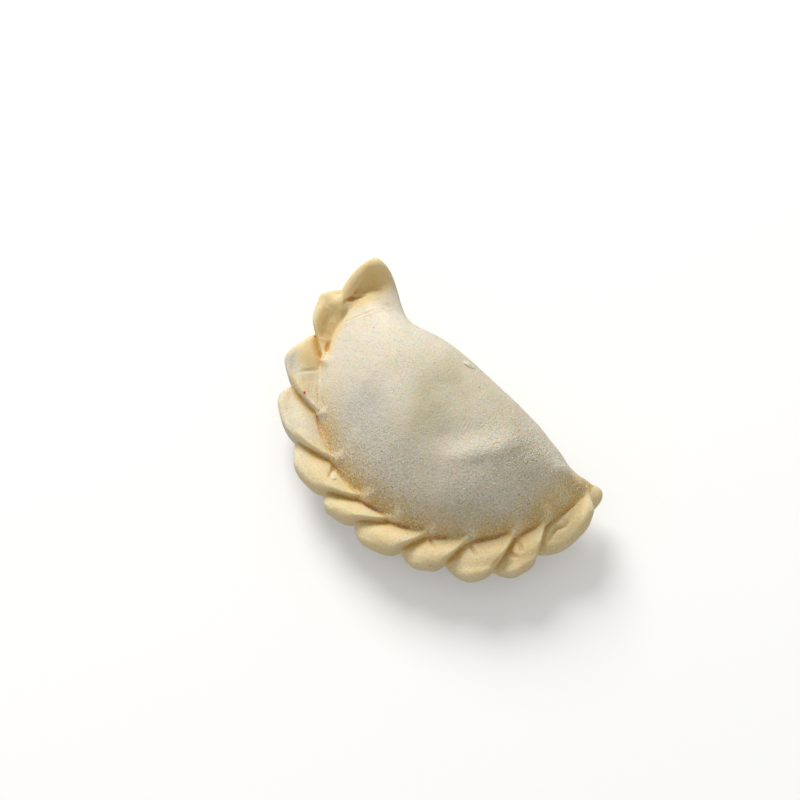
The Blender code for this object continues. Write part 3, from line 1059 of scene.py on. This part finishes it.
def mark_dough(mesh):
    """Store the masks that the dough's material reads."""
    points = mesh_points(mesh)
    normals = mesh_normals(mesh)
    angle, radius = polar_of(points)
    filled = belly_share(points)
    # How much of its outlook each point loses to the dough round it, less out on the rim; the material lays painted
    # warm shade there
    hollow = spread_over_edges(mesh, hollow_share(mesh, points, normals), 2)
    on_rim = smooth_step((radius - SEAM_RADIUS - 0.2) / 1.4) * smooth_step((angle - 205.0) / 6.0)
    hollow *= 1.0 - 0.65 * on_rim
    cloud = layered_noise(points, 6.0, 3, 3)
    # Warm tint by the seam: partly the belly's own colour, partly painted shade in the valley beside the pleats,
    # lifted on the tips' bumps
    seam = smooth_step((radius - 27.0) / 7.0) * smooth_step((angle - 218.0) / 26.0)
    seam *= 1.0 - 0.15 * smooth_step((angle - 292.0) / 14.0)
    seam *= smooth_step((SEAM_RADIUS + 0.8 - radius) / 1.2) * smooth_step((points[:, 2] - 6.0) / 3.0)
    seam *= 1.0 - 0.75 * tip_share(points)
    seam *= 1.0 - 0.6 * patch(points, (30.5, -2.7), 3.2)
    # Painted shade under each free edge, laid on with the seam's colour
    wedge = 1.00 * wedge_share(angle, radius) * (1.0 - 0.5 * smooth_step((angle - 336.0) / 6.0))
    seam = np.maximum(seam, wedge * smooth_step((normals[:, 2] - 0.2) / 0.5))
    # Olive tint of moist dough, partly painted shade on the middle and right of the belly
    moist = patches(points, MOIST_AND_SHADE_PATCHES) * (1.0 + 0.3 * cloud)
    grey = patches(points, GREY_PATCHES) * (1.0 + 0.3 * cloud)
    floured_rim = smooth_step((angle - 206.0) / 10.0) * smooth_step((258.0 - angle) / 14.0)
    front = smooth_step((-points[:, 1] - 12.0) / 14.0)
    bare = (0.90 - 0.60 * floured_rim) * (1.0 - filled) + 0.20 * front * filled
    bare = bare + 0.12 * cloud + patches(points, BARE_PATCHES)
    underside = smooth_step((-normals[:, 2] - 0.1) / 0.6)
    bare = bare * (1.0 - 0.5 * underside)
    amber = patches(points, AMBER_PATCHES)
    add_mask(mesh, "seam", np.maximum(seam, amber) * (1.0 + 0.25 * cloud))
    add_mask(mesh, "bare", bare)
    add_mask(mesh, "filling", grey * np.maximum(filled, floured_rim))
    add_mask(mesh, "moist", moist * filled)
    add_mask(mesh, "hollow", hollow)
    # Where the grain shows most, low and to the right of the belly where it lies in shade: it sets the painted
    # shade in the pits, the flour white on the peaks, the strength of the bump and where loose flour lies
    lower = smooth_step((-points[:, 1] - 15.0) / 15.0)
    grit_and_pit_shade = 0.15 + 0.85 * np.maximum(lower, 0.85 * smooth_step((points[:, 0] - 6.0) / 14.0))
    grit_and_pit_shade *= 0.30 + 0.70 * np.maximum(filled, smooth_step(SEAM_RADIUS + 0.5 - radius))
    add_mask(mesh, "grit_and_pit_shade", grit_and_pit_shade)
    # Where the dough turns sharply outwards; the material lays a painted highlight there
    add_mask(mesh, "edge", edge_share(mesh, points, normals))


def into_frame(item):
    """Turn a piece's millimetres into metres and put it at its place in the frame."""
    low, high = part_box(NODE)
    middle = 0.5 * (low + high)
    shift = np.array((middle.x + ARC_CENTRE[0] * MM, middle.y + ARC_CENTRE[1] * MM, low.z))
    points = mesh_points(item.data) * MM + shift
    item.data.vertices.foreach_set("co", points.ravel())
    item.data.update()


def finish_piece(item, material):
    """Give a piece its material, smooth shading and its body."""
    item.data.materials.clear()
    item.data.materials.append(material)
    item.data.shade_smooth()
    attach(item, BODY)


# Materials ------------------------------------------------------------------

def new_group(name, inputs, outputs):
    """Shader node group with named sockets, and its two end nodes."""
    group = bpy.data.node_groups.new(name, 'ShaderNodeTree')
    for label, kind, default in inputs:
        socket = group.interface.new_socket(label, in_out='INPUT', socket_type=kind)
        socket.default_value = default
    for label, kind in outputs:
        group.interface.new_socket(label, in_out='OUTPUT', socket_type=kind)
    return group, group.nodes.new('NodeGroupInput'), group.nodes.new('NodeGroupOutput')


def add_node(tree, kind, **values):
    """Node with some of its properties set."""
    node = tree.nodes.new(kind)
    for name, value in values.items():
        setattr(node, name, value)
    return node


def math_node(tree, operation, first, second=None, clamp=False):
    """Math node fed by sockets or numbers."""
    node = add_node(tree, 'ShaderNodeMath', operation=operation, use_clamp=clamp)
    for place, value in enumerate((first, second)):
        if value is None:
            continue
        if isinstance(value, (int, float)):
            node.inputs[place].default_value = value
        else:
            tree.links.new(value, node.inputs[place])
    return node.outputs[0]


def mix_node(tree, factor, first, second):
    """Colour mix fed by sockets or colours."""
    node = add_node(tree, 'ShaderNodeMix', data_type='RGBA')
    for socket, value in ((node.inputs[0], factor), (node.inputs[6], first), (node.inputs[7], second)):
        if isinstance(value, bpy.types.NodeSocket):
            tree.links.new(value, socket)
        elif isinstance(value, (int, float)):
            socket.default_value = value
        else:
            socket.default_value = (*value[:3], 1.0)
    return node.outputs[2]


def noise_node(tree, vector, size, detail=2.0, roughness=0.5):
    """Noise whose lumps have a size in millimetres."""
    node = add_node(tree, 'ShaderNodeTexNoise')
    node.inputs["Scale"].default_value = 1.0 / (size * MM)
    node.inputs["Detail"].default_value = detail
    node.inputs["Roughness"].default_value = roughness
    tree.links.new(vector, node.inputs["Vector"])
    return node.outputs[0]


def ramp_node(tree, value, low, high):
    """Value eased from 0 at low to 1 at high."""
    node = add_node(tree, 'ShaderNodeMapRange', interpolation_type='SMOOTHSTEP')
    node.inputs["From Min"].default_value = low
    node.inputs["From Max"].default_value = high
    tree.links.new(value, node.inputs["Value"])
    return node.outputs[0]


def flour_dust_group():
    """Fine flour clinging to dough: whitens it in grains and gives them height."""
    inputs = (
        ("Colour", 'NodeSocketColor', (0.8, 0.7, 0.5, 1.0)),
        ("Flour Colour", 'NodeSocketColor', (0.9, 0.87, 0.8, 1.0)),
        ("Amount", 'NodeSocketFloat', 0.5),
    )
    group, given, result = new_group("flour_dust", inputs, (("Colour", 'NodeSocketColor'), ("Grains", 'NodeSocketFloat')))
    place = group.nodes.new('ShaderNodeTexCoord').outputs["Object"]
    cells = add_node(group, 'ShaderNodeTexVoronoi')
    cells.inputs["Scale"].default_value = 1.0 / (0.34 * MM)
    group.links.new(place, cells.inputs["Vector"])
    chance = group.nodes.new('ShaderNodeSeparateColor')
    group.links.new(cells.outputs["Color"], chance.inputs[0])
    clouds = noise_node(group, place, 3.0, 3.0)
    wanted = math_node(group, 'MULTIPLY', given.outputs["Amount"], ramp_node(group, clouds, 0.25, 0.75))
    chosen = math_node(group, 'LESS_THAN', chance.outputs[0], wanted)
    dot = ramp_node(group, cells.outputs["Distance"], 0.42, 0.18)
    grains = math_node(group, 'MULTIPLY', chosen, dot)
    film = math_node(group, 'MULTIPLY', noise_node(group, place, 0.6, 3.0), given.outputs["Amount"])
    cover = math_node(group, 'ADD', math_node(group, 'MULTIPLY', grains, 0.75), math_node(group, 'MULTIPLY', film, 0.35), True)
    colour = mix_node(group, cover, given.outputs["Colour"], given.outputs["Flour Colour"])
    group.links.new(colour, result.inputs["Colour"])
    group.links.new(grains, result.inputs["Grains"])
    return group


def dough_grain_group():
    """Felt-like grain of kneaded dough: its height, its fine pits and its peaks."""
    inputs = (("Coarse", 'NodeSocketFloat', 0.35), ("Fine", 'NodeSocketFloat', 0.65))
    outputs = (("Height", 'NodeSocketFloat'), ("Pits", 'NodeSocketFloat'), ("Peaks", 'NodeSocketFloat'))
    group, given, result = new_group("dough_grain", inputs, outputs)
    place = group.nodes.new('ShaderNodeTexCoord').outputs["Object"]
    coarse = math_node(group, 'MULTIPLY', noise_node(group, place, 0.9, 3.0, 0.55), given.outputs["Coarse"])
    fine = math_node(group, 'MULTIPLY', noise_node(group, place, 0.42, 2.0, 0.6), given.outputs["Fine"])
    group.links.new(math_node(group, 'ADD', coarse, fine), result.inputs["Height"])
    grit = noise_node(group, place, 0.38, 1.0)
    group.links.new(ramp_node(group, grit, 0.47, 0.32), result.inputs["Pits"])
    group.links.new(ramp_node(group, grit, 0.54, 0.68), result.inputs["Peaks"])
    return group


def shared_group(name, make):
    """Node group of that name, built on first use."""
    return bpy.data.node_groups.get(name) or make()


def place_group(tree, name, make):
    """Group node of a shared effect."""
    node = tree.nodes.new('ShaderNodeGroup')
    node.node_tree = shared_group(name, make)
    return node


def new_material(name, roughness):
    """Material with its shader, and its node tree."""
    material = bpy.data.materials.new(name)
    material.use_nodes = True
    shader = material.node_tree.nodes["Principled BSDF"]
    shader.inputs["Roughness"].default_value = roughness
    shader.inputs["Specular IOR Level"].default_value = 0.35
    return material, material.node_tree, shader


def make_translucent(shader, weight, depth):
    """Let light spread inside, deepest for red, over a depth in millimetres."""
    shader.inputs["Subsurface Weight"].default_value = weight
    shader.inputs["Subsurface Radius"].default_value = (1.0, 0.55, 0.25)
    shader.inputs["Subsurface Scale"].default_value = depth * MM


def add_bump(tree, shader, height, depth):
    """Feed a bump whose full height is a depth in millimetres."""
    bump = tree.nodes.new('ShaderNodeBump')
    bump.inputs["Distance"].default_value = depth * MM
    tree.links.new(height, bump.inputs["Height"])
    tree.links.new(bump.outputs[0], shader.inputs["Normal"])


def mask_socket(tree, name):
    """Mask stored on the points."""
    return add_node(tree, 'ShaderNodeAttribute', attribute_name=name).outputs["Fac"]


def floured_dough(settings, flour):
    """Dough whose colour follows its masks, dusted with flour."""
    material, tree, shader = new_material("floured_dough", 0.72)
    place = tree.nodes.new('ShaderNodeTexCoord').outputs["Object"]
    mottle = ramp_node(tree, noise_node(tree, place, 4.5, 4.0), 0.3, 0.7)
    bare = math_node(tree, 'ADD', mask_socket(tree, "bare"), math_node(tree, 'MULTIPLY', mottle, 0.12), True)
    base = mix_node(tree, bare, settings.floured_colour, settings.bare_colour)
    base = mix_node(tree, mask_socket(tree, "filling"), base, settings.filling_colour)
    # Olive tint of moist dough, partly painted shade
    base = mix_node(tree, mask_socket(tree, "moist"), base, settings.moist_olive_and_shade)
    # Seam's warm tint with painted shade, also under each free edge
    base = mix_node(tree, mask_socket(tree, "seam"), base, settings.seam_tint_and_shade)
    # Painted highlight on the edges where the dough turns sharply outwards
    base = mix_node(tree, math_node(tree, 'MULTIPLY', mask_socket(tree, "edge"), 0.6), base, settings.edge_highlight_colour)
    # Painted warm shade in the crevices and hollows, from how much of its outlook each point loses
    hollow = ramp_node(tree, mask_socket(tree, "hollow"), 0.22, 0.52)
    base = mix_node(tree, hollow, base, settings.crevice_shade_colour)
    grain = place_group(tree, "dough_grain", dough_grain_group)
    # Painted shade in the grain's fine pits and flour white on its peaks, where the grain shows most
    grit_and_pit_shade = mask_socket(tree, "grit_and_pit_shade")
    pits = math_node(tree, 'MULTIPLY', math_node(tree, 'MULTIPLY', grain.outputs["Pits"], grit_and_pit_shade), 0.66)
    base = mix_node(tree, pits, base, settings.pit_shade_colour)
    peaks = math_node(tree, 'MULTIPLY', math_node(tree, 'MULTIPLY', grain.outputs["Peaks"], grit_and_pit_shade), 0.44)
    base = mix_node(tree, peaks, base, flour.colour)
    dust = place_group(tree, "flour_dust", flour_dust_group)
    dust.inputs["Flour Colour"].default_value = (*flour.colour, 1.0)
    # Less flour whitening on bare dough, in the painted hollow shade, and on the seam's tint and painted shade
    amount = math_node(tree, 'SUBTRACT', 0.60, math_node(tree, 'MULTIPLY', bare, 0.38))
    amount = math_node(tree, 'SUBTRACT', amount, math_node(tree, 'MULTIPLY', hollow, 0.4), True)
    amount = math_node(tree, 'SUBTRACT', amount, math_node(tree, 'MULTIPLY', mask_socket(tree, "seam"), 0.10), True)
    tree.links.new(amount, dust.inputs["Amount"])
    tree.links.new(base, dust.inputs["Colour"])
    tree.links.new(dust.outputs["Colour"], shader.inputs["Base Color"])
    rough = math_node(tree, 'ADD', math_node(tree, 'MULTIPLY', grit_and_pit_shade, 1.2), 0.7)
    raised = math_node(tree, 'MULTIPLY', grain.outputs["Height"], rough)
    raised = math_node(tree, 'ADD', raised, math_node(tree, 'MULTIPLY', dust.outputs["Grains"], 0.5))
    add_bump(tree, shader, raised, 0.32)
    make_translucent(shader, 0.45, 1.3)
    return material


def scrap_dough(settings, flour):
    """Small scraps of dough, paler than what they lie on."""
    material, tree, shader = new_material("scrap_dough", 0.7)
    dust = place_group(tree, "flour_dust", flour_dust_group)
    dust.inputs["Colour"].default_value = (*settings.floured_colour, 1.0)
    dust.inputs["Flour Colour"].default_value = (*flour.colour, 1.0)
    dust.inputs["Amount"].default_value = 0.25
    tree.links.new(dust.outputs["Colour"], shader.inputs["Base Color"])
    grain = place_group(tree, "dough_grain", dough_grain_group)
    add_bump(tree, shader, grain.outputs["Height"], 0.12)
    make_translucent(shader, 0.4, 0.8)
    return material


def powder(name, colour, unevenness):
    """Dry powder or speck whose colour varies a little from grain to grain."""
    material, tree, shader = new_material(name, 0.85)
    place = tree.nodes.new('ShaderNodeTexCoord').outputs["Object"]
    darker = tuple(channel * (1.0 - unevenness) for channel in colour)
    tone = ramp_node(tree, noise_node(tree, place, 1.3, 1.0), 0.35, 0.65)
    tree.links.new(mix_node(tree, tone, darker, tuple(colour)), shader.inputs["Base Color"])
    grain = place_group(tree, "dough_grain", dough_grain_group)
    add_bump(tree, shader, grain.outputs["Height"], 0.03)
    return material


def plain_floor(colour):
    """Plain pale floor that lifts its shadows, and throws little light back up."""
    material, tree, shader = new_material("plain_floor", 0.9)
    place = tree.nodes.new('ShaderNodeTexCoord').outputs["Object"]
    darker = tuple(channel * 0.995 for channel in colour)
    tone = mix_node(tree, noise_node(tree, place, 60.0), darker, tuple(colour))
    seen = tree.nodes.new('ShaderNodeLightPath').outputs["Is Camera Ray"]
    tone = mix_node(tree, seen, FLOOR_BOUNCE, tone)
    tree.links.new(tone, shader.inputs["Base Color"])
    shader.inputs["Emission Color"].default_value = (1.0, 1.0, 1.0, 1.0)
    tree.links.new(math_node(tree, 'MULTIPLY', seen, FLOOR_GLOW), shader.inputs["Emission Strength"])
    return material


# Small things on the dough --------------------------------------------------

def lump_ball(detail):
    """Points and faces of a round lump of diameter 1."""
    shape = bmesh.new()
    bmesh.ops.create_icosphere(shape, subdivisions=detail, radius=0.5)
    points = np.array([vertex.co for vertex in shape.verts])
    faces = np.array([[vertex.index for vertex in face.verts] for face in shape.faces])
    shape.free()
    return points, faces


def spread_places(item, count, weight, chooser):
    """Random places on a triangle mesh: points and outward directions."""
    mesh = item.data
    mesh.calc_loop_triangles()
    corners = np.empty(3 * len(mesh.loop_triangles), dtype=np.int32)
    mesh.loop_triangles.foreach_get("vertices", corners)
    corners = corners.reshape(-1, 3)
    points = mesh_points(mesh)
    sides = points[corners]
    cross = np.cross(sides[:, 1] - sides[:, 0], sides[:, 2] - sides[:, 0])
    area = np.linalg.norm(cross, axis=1)
    chance = area * weight[corners].mean(axis=1)
    picked = chooser.choice(len(corners), size=count, p=chance / chance.sum())
    one = np.sqrt(chooser.random(count))
    two = chooser.random(count)
    shares = np.column_stack((1.0 - one, one * (1.0 - two), one * two))
    places = (sides[picked] * shares[:, :, None]).sum(axis=1)
    return places, cross[picked] / area[picked, None]


def scattered(name, places, outward, sizes, flatness, sink, chooser, detail=1):
    """One mesh object of uneven lumps lying on the surface."""
    shape, faces = lump_ball(detail)
    count = len(places)
    helper = chooser.normal(size=(count, 3))
    first = np.cross(helper, outward)
    first /= np.linalg.norm(first, axis=1)[:, None]
    second = np.cross(outward, first)
    lean, pinch = chooser.normal(size=(2, count, 3))
    bend = 1.0 + 0.45 * (lean @ shape.T) + 0.7 * (pinch @ shape.T) ** 2
    lumps = shape[None] * np.clip(bend, 0.7, 1.5)[:, :, None]
    stretch = chooser.uniform(0.7, 1.35, size=(count, 2))
    local = lumps * sizes[:, None, None]
    turned = local[:, :, 0:1] * stretch[:, 0:1, None] * first[:, None, :]
    turned += local[:, :, 1:2] * stretch[:, 1:2, None] * second[:, None, :]
    turned += local[:, :, 2:3] * flatness * outward[:, None, :]
    lifted = places + outward * (sizes * flatness * (0.5 - sink))[:, None]
    points = turned + lifted[:, None, :]
    rows = faces[None] + (np.arange(count) * len(shape))[:, None, None]
    mesh = new_mesh(name, points.reshape(-1, 3), rows.reshape(-1, faces.shape[1]))
    return new_object(name, mesh)


def dough_piece():
    """The dough, in the frame; an error if it isn't there yet."""
    item = bpy.data.objects.get("dough")
    if item is None:
        raise RuntimeError("add the dough first")
    return item


def piece_masks(item):
    """Masks of a piece, by name."""
    masks = {}
    for name in ("grit_and_pit_shade", "hollow"):
        values = np.empty(len(item.data.vertices), dtype=np.float32)
        item.data.attributes[name].data.foreach_get("value", values)
        masks[name] = values.astype(float)
    return masks


def from_frame(points):
    """Places in the frame, in millimetres about the arc's centre."""
    low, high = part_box(NODE)
    middle = 0.5 * (low + high)
    return points / MM - np.array((middle.x / MM + ARC_CENTRE[0], middle.y / MM + ARC_CENTRE[1], low.z / MM))


# Operators ------------------------------------------------------------------

class DUMPLING_OT_add_dough(bpy.types.Operator):
    """Build the floured dough in place of the plain solid"""

    bl_idname = "dumpling.add_dough"
    bl_label = "Dough"

    def execute(self, context):
        scene = context.scene
        dough = dough_mesh(scene.dumpling_dough)
        mark_dough(dough.data)
        into_frame(dough)
        finish_piece(dough, floured_dough(scene.dumpling_dough, scene.dumpling_flour))
        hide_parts(NODE)
        return {'FINISHED'}


class DUMPLING_OT_add_flour(bpy.types.Operator):
    """Scatter loose grains of flour over the dough"""

    bl_idname = "dumpling.add_flour"
    bl_label = "Loose Flour"

    def execute(self, context):
        settings = context.scene.dumpling_flour
        chooser = np.random.default_rng(11)
        dough = dough_piece()
        points = from_frame(mesh_points(dough.data))
        masks = piece_masks(dough)
        clouds = 0.7 + 0.4 * layered_noise(points, 4.0, 7)
        weight = masks["grit_and_pit_shade"] ** 2 + masks["hollow"]
        weight *= np.clip(clouds, 0.1, 1.0)
        weight *= smooth_step((points[:, 2] - 2.0) / 6.0)
        places, outward = spread_places(dough, settings.count, weight, chooser)
        share = chooser.random(settings.count) ** 2.6
        sizes = settings.smallest + (settings.largest - settings.smallest) * share
        grains = scattered("flour_grains", places, outward, sizes, 0.55, 0.45, chooser)
        finish_piece(grains, powder("loose_flour", settings.colour, 0.08))
        return {'FINISHED'}


class DUMPLING_OT_add_specks(bpy.types.Operator):
    """Press specks of bran and two red specks into the dough"""

    bl_idname = "dumpling.add_specks"
    bl_label = "Specks"

    red_places = ((-25.2, -26.2), (-34.2, -14.7))

    def execute(self, context):
        settings = context.scene.dumpling_specks
        chooser = np.random.default_rng(23)
        dough = dough_piece()
        points = from_frame(mesh_points(dough.data))
        weight = smooth_step((points[:, 2] - 3.0) / 6.0)
        places, outward = spread_places(dough, settings.count, weight, chooser)
        sizes = settings.size * chooser.uniform(0.45, 1.3, size=settings.count)
        bran = scattered("bran_specks", places, outward, sizes, 0.35, 0.35, chooser)
        finish_piece(bran, powder("bran", settings.bran_colour, 0.35))

        places, outward = places_above(dough, self.red_places)
        sizes = settings.size * np.array((2.4, 1.6))
        red = scattered("red_specks", places, outward, sizes, 0.35, 0.3, chooser)
        finish_piece(red, powder("red_speck", settings.red_colour, 0.2))
        return {'FINISHED'}


def places_above(dough, plan_places):
    """Points and outward directions of a piece's upper side, above places in plan."""
    low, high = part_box(NODE)
    middle = 0.5 * (low + high)
    tree = mesh_tree(dough.data)
    found = []
    outward = []
    for x, y in plan_places:
        start = Vector((middle.x + (x + ARC_CENTRE[0]) * MM, middle.y + (y + ARC_CENTRE[1]) * MM, 2.0 * high.z))
        hit, normal, _, _ = tree.ray_cast(start, Vector((0.0, 0.0, -1.0)))
        if hit is None:
            raise RuntimeError(f"nothing of the dough lies at {x}, {y}")
        found.append(hit)
        outward.append(normal)
    return np.array(found), np.array(outward)


class DUMPLING_OT_add_scraps(bpy.types.Operator):
    """Stick small scraps of dough to the back edge and to the pleats"""

    bl_idname = "dumpling.add_scraps"
    bl_label = "Scraps"

    places = ((-2.2, 1.6), (-1.2, 2.2), (-3.0, 1.2), (-6.3, -35.1))
    sizes = (1.5, 1.1, 0.9, 1.1)

    def execute(self, context):
        scene = context.scene
        chooser = np.random.default_rng(31)
        dough = dough_piece()
        places, outward = places_above(dough, self.places)
        sizes = np.array(self.sizes) * MM
        scraps = scattered("dough_scraps", places, outward, sizes, 0.36, 0.30, chooser, 3)
        finish_piece(scraps, scrap_dough(scene.dumpling_dough, scene.dumpling_flour))
        return {'FINISHED'}


class DUMPLING_OT_add_stage(bpy.types.Operator):
    """Set up the plain floor, the soft lights and the camera"""

    bl_idname = "dumpling.add_stage"
    bl_label = "Stage"

    def execute(self, context):
        scene = context.scene
        settings = scene.dumpling_stage
        low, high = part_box(NODE)
        middle = 0.5 * (low + high)
        add_floor(settings, low.z)
        add_world(scene, settings)
        back, right, up = camera_directions(settings)
        add_key_light(settings, middle, 0.90 * up - 0.29 * right + 0.31 * back)
        add_camera(scene, settings, middle, back, right, up)
        scene.view_settings.view_transform = 'Standard'
        return {'FINISHED'}


def add_floor(settings, height):
    """Wide round floor just under the dumpling."""
    shape = bmesh.new()
    bmesh.ops.create_circle(shape, cap_ends=True, segments=96, radius=4.0)
    mesh = bpy.data.meshes.new("floor")
    shape.to_mesh(mesh)
    shape.free()
    floor = new_object("floor", mesh)
    floor.location.z = height - 0.05 * MM
    mesh.materials.append(plain_floor(settings.floor_colour))


def add_world(scene, settings):
    """Even pale light from all round, seen by the camera as plain white."""
    world = bpy.data.worlds.new("studio")
    world.use_nodes = True
    tree = world.node_tree
    background = tree.nodes["Background"]
    seen = tree.nodes.new('ShaderNodeLightPath').outputs["Is Camera Ray"]
    lift = math_node(tree, 'MULTIPLY', seen, 1.0 - settings.fill)
    tree.links.new(math_node(tree, 'ADD', lift, settings.fill), background.inputs["Strength"])
    background.inputs["Color"].default_value = (1.0, 1.0, 1.0, 1.0)
    scene.world = world


def camera_directions(settings):
    """Directions from the dumpling back to the camera, and the picture's right and up."""
    turn = settings.azimuth
    rise = settings.elevation
    back = Vector((math.sin(turn) * math.cos(rise), -math.cos(turn) * math.cos(rise), math.sin(rise)))
    right = Vector((math.cos(turn), math.sin(turn), 0.0))
    return back, right, back.cross(right)


def add_key_light(settings, middle, direction):
    """Large soft light."""
    light = bpy.data.lights.new("key", 'AREA')
    light.shape = 'DISK'
    light.size = 0.80
    light.energy = settings.key_power
    light.color = (1.0, 0.985, 0.96)
    item = bpy.data.objects.new("key", light)
    bpy.context.scene.collection.objects.link(item)
    direction = direction.normalized()
    item.location = middle + 1.5 * direction
    item.rotation_mode = 'QUATERNION'
    item.rotation_quaternion = direction.to_track_quat('Z', 'Y')


def add_camera(scene, settings, middle, back, right, up):
    """Camera that sees the dumpling a little left of and below the picture's middle."""
    data = bpy.data.cameras.new("camera")
    data.lens = settings.lens
    data.sensor_width = 36.0
    camera = bpy.data.objects.new("camera", data)
    scene.collection.objects.link(camera)
    width = 176.7 * MM
    aim = Vector((middle.x, middle.y, 10.0 * MM)) - 2.8 * MM * right + 10.05 * MM * up
    camera.location = aim + back * (width * data.lens / data.sensor_width)
    camera.rotation_mode = 'QUATERNION'
    camera.rotation_quaternion = back.to_track_quat('Z', 'Y')
    data.clip_start = 0.01
    data.clip_end = 20.0
    scene.camera = camera


# Panel and registration -----------------------------------------------------

class DUMPLING_PT_panel(bpy.types.Panel):
    """Buttons and settings for the dumpling"""

    bl_idname = "DUMPLING_PT_panel"
    bl_label = "Pierogi Dumpling"
    bl_space_type = 'VIEW_3D'
    bl_region_type = 'UI'
    bl_category = "Dumpling"

    def draw(self, context):
        layout = self.layout
        layout.use_property_split = True
        for operator, group in STEPS:
            box = layout.box()
            box.operator(operator.bl_idname)
            if group is None:
                continue
            settings = getattr(context.scene, group)
            for name in settings.bl_rna.properties.keys():
                if name not in ("rna_type", "name"):
                    box.prop(settings, name)


GROUPS = (
    ("dumpling_dough", DoughSettings),
    ("dumpling_flour", FlourSettings),
    ("dumpling_specks", SpeckSettings),
    ("dumpling_stage", StageSettings),
)

STEPS = (
    (DUMPLING_OT_add_dough, "dumpling_dough"),
    (DUMPLING_OT_add_flour, "dumpling_flour"),
    (DUMPLING_OT_add_specks, "dumpling_specks"),
    (DUMPLING_OT_add_scraps, None),
    (DUMPLING_OT_add_stage, "dumpling_stage"),
)


def register():
    """Register the settings, the operators and the panel."""
    for name, group in GROUPS:
        bpy.utils.register_class(group)
        setattr(bpy.types.Scene, name, bpy.props.PointerProperty(type=group))
    for operator, _ in STEPS:
        bpy.utils.register_class(operator)
    bpy.utils.register_class(DUMPLING_PT_panel)


def unregister():
    """Take back all that register added."""
    bpy.utils.unregister_class(DUMPLING_PT_panel)
    for operator, _ in reversed(STEPS):
        bpy.utils.unregister_class(operator)
    for name, group in reversed(GROUPS):
        delattr(bpy.types.Scene, name)
        bpy.utils.unregister_class(group)


def main():
    """Build everything in order."""
    register()
    bpy.ops.dumpling.add_dough()
    bpy.ops.dumpling.add_flour()
    bpy.ops.dumpling.add_specks()
    bpy.ops.dumpling.add_scraps()
    bpy.ops.dumpling.add_stage()


if __name__ == "__main__":
    main()
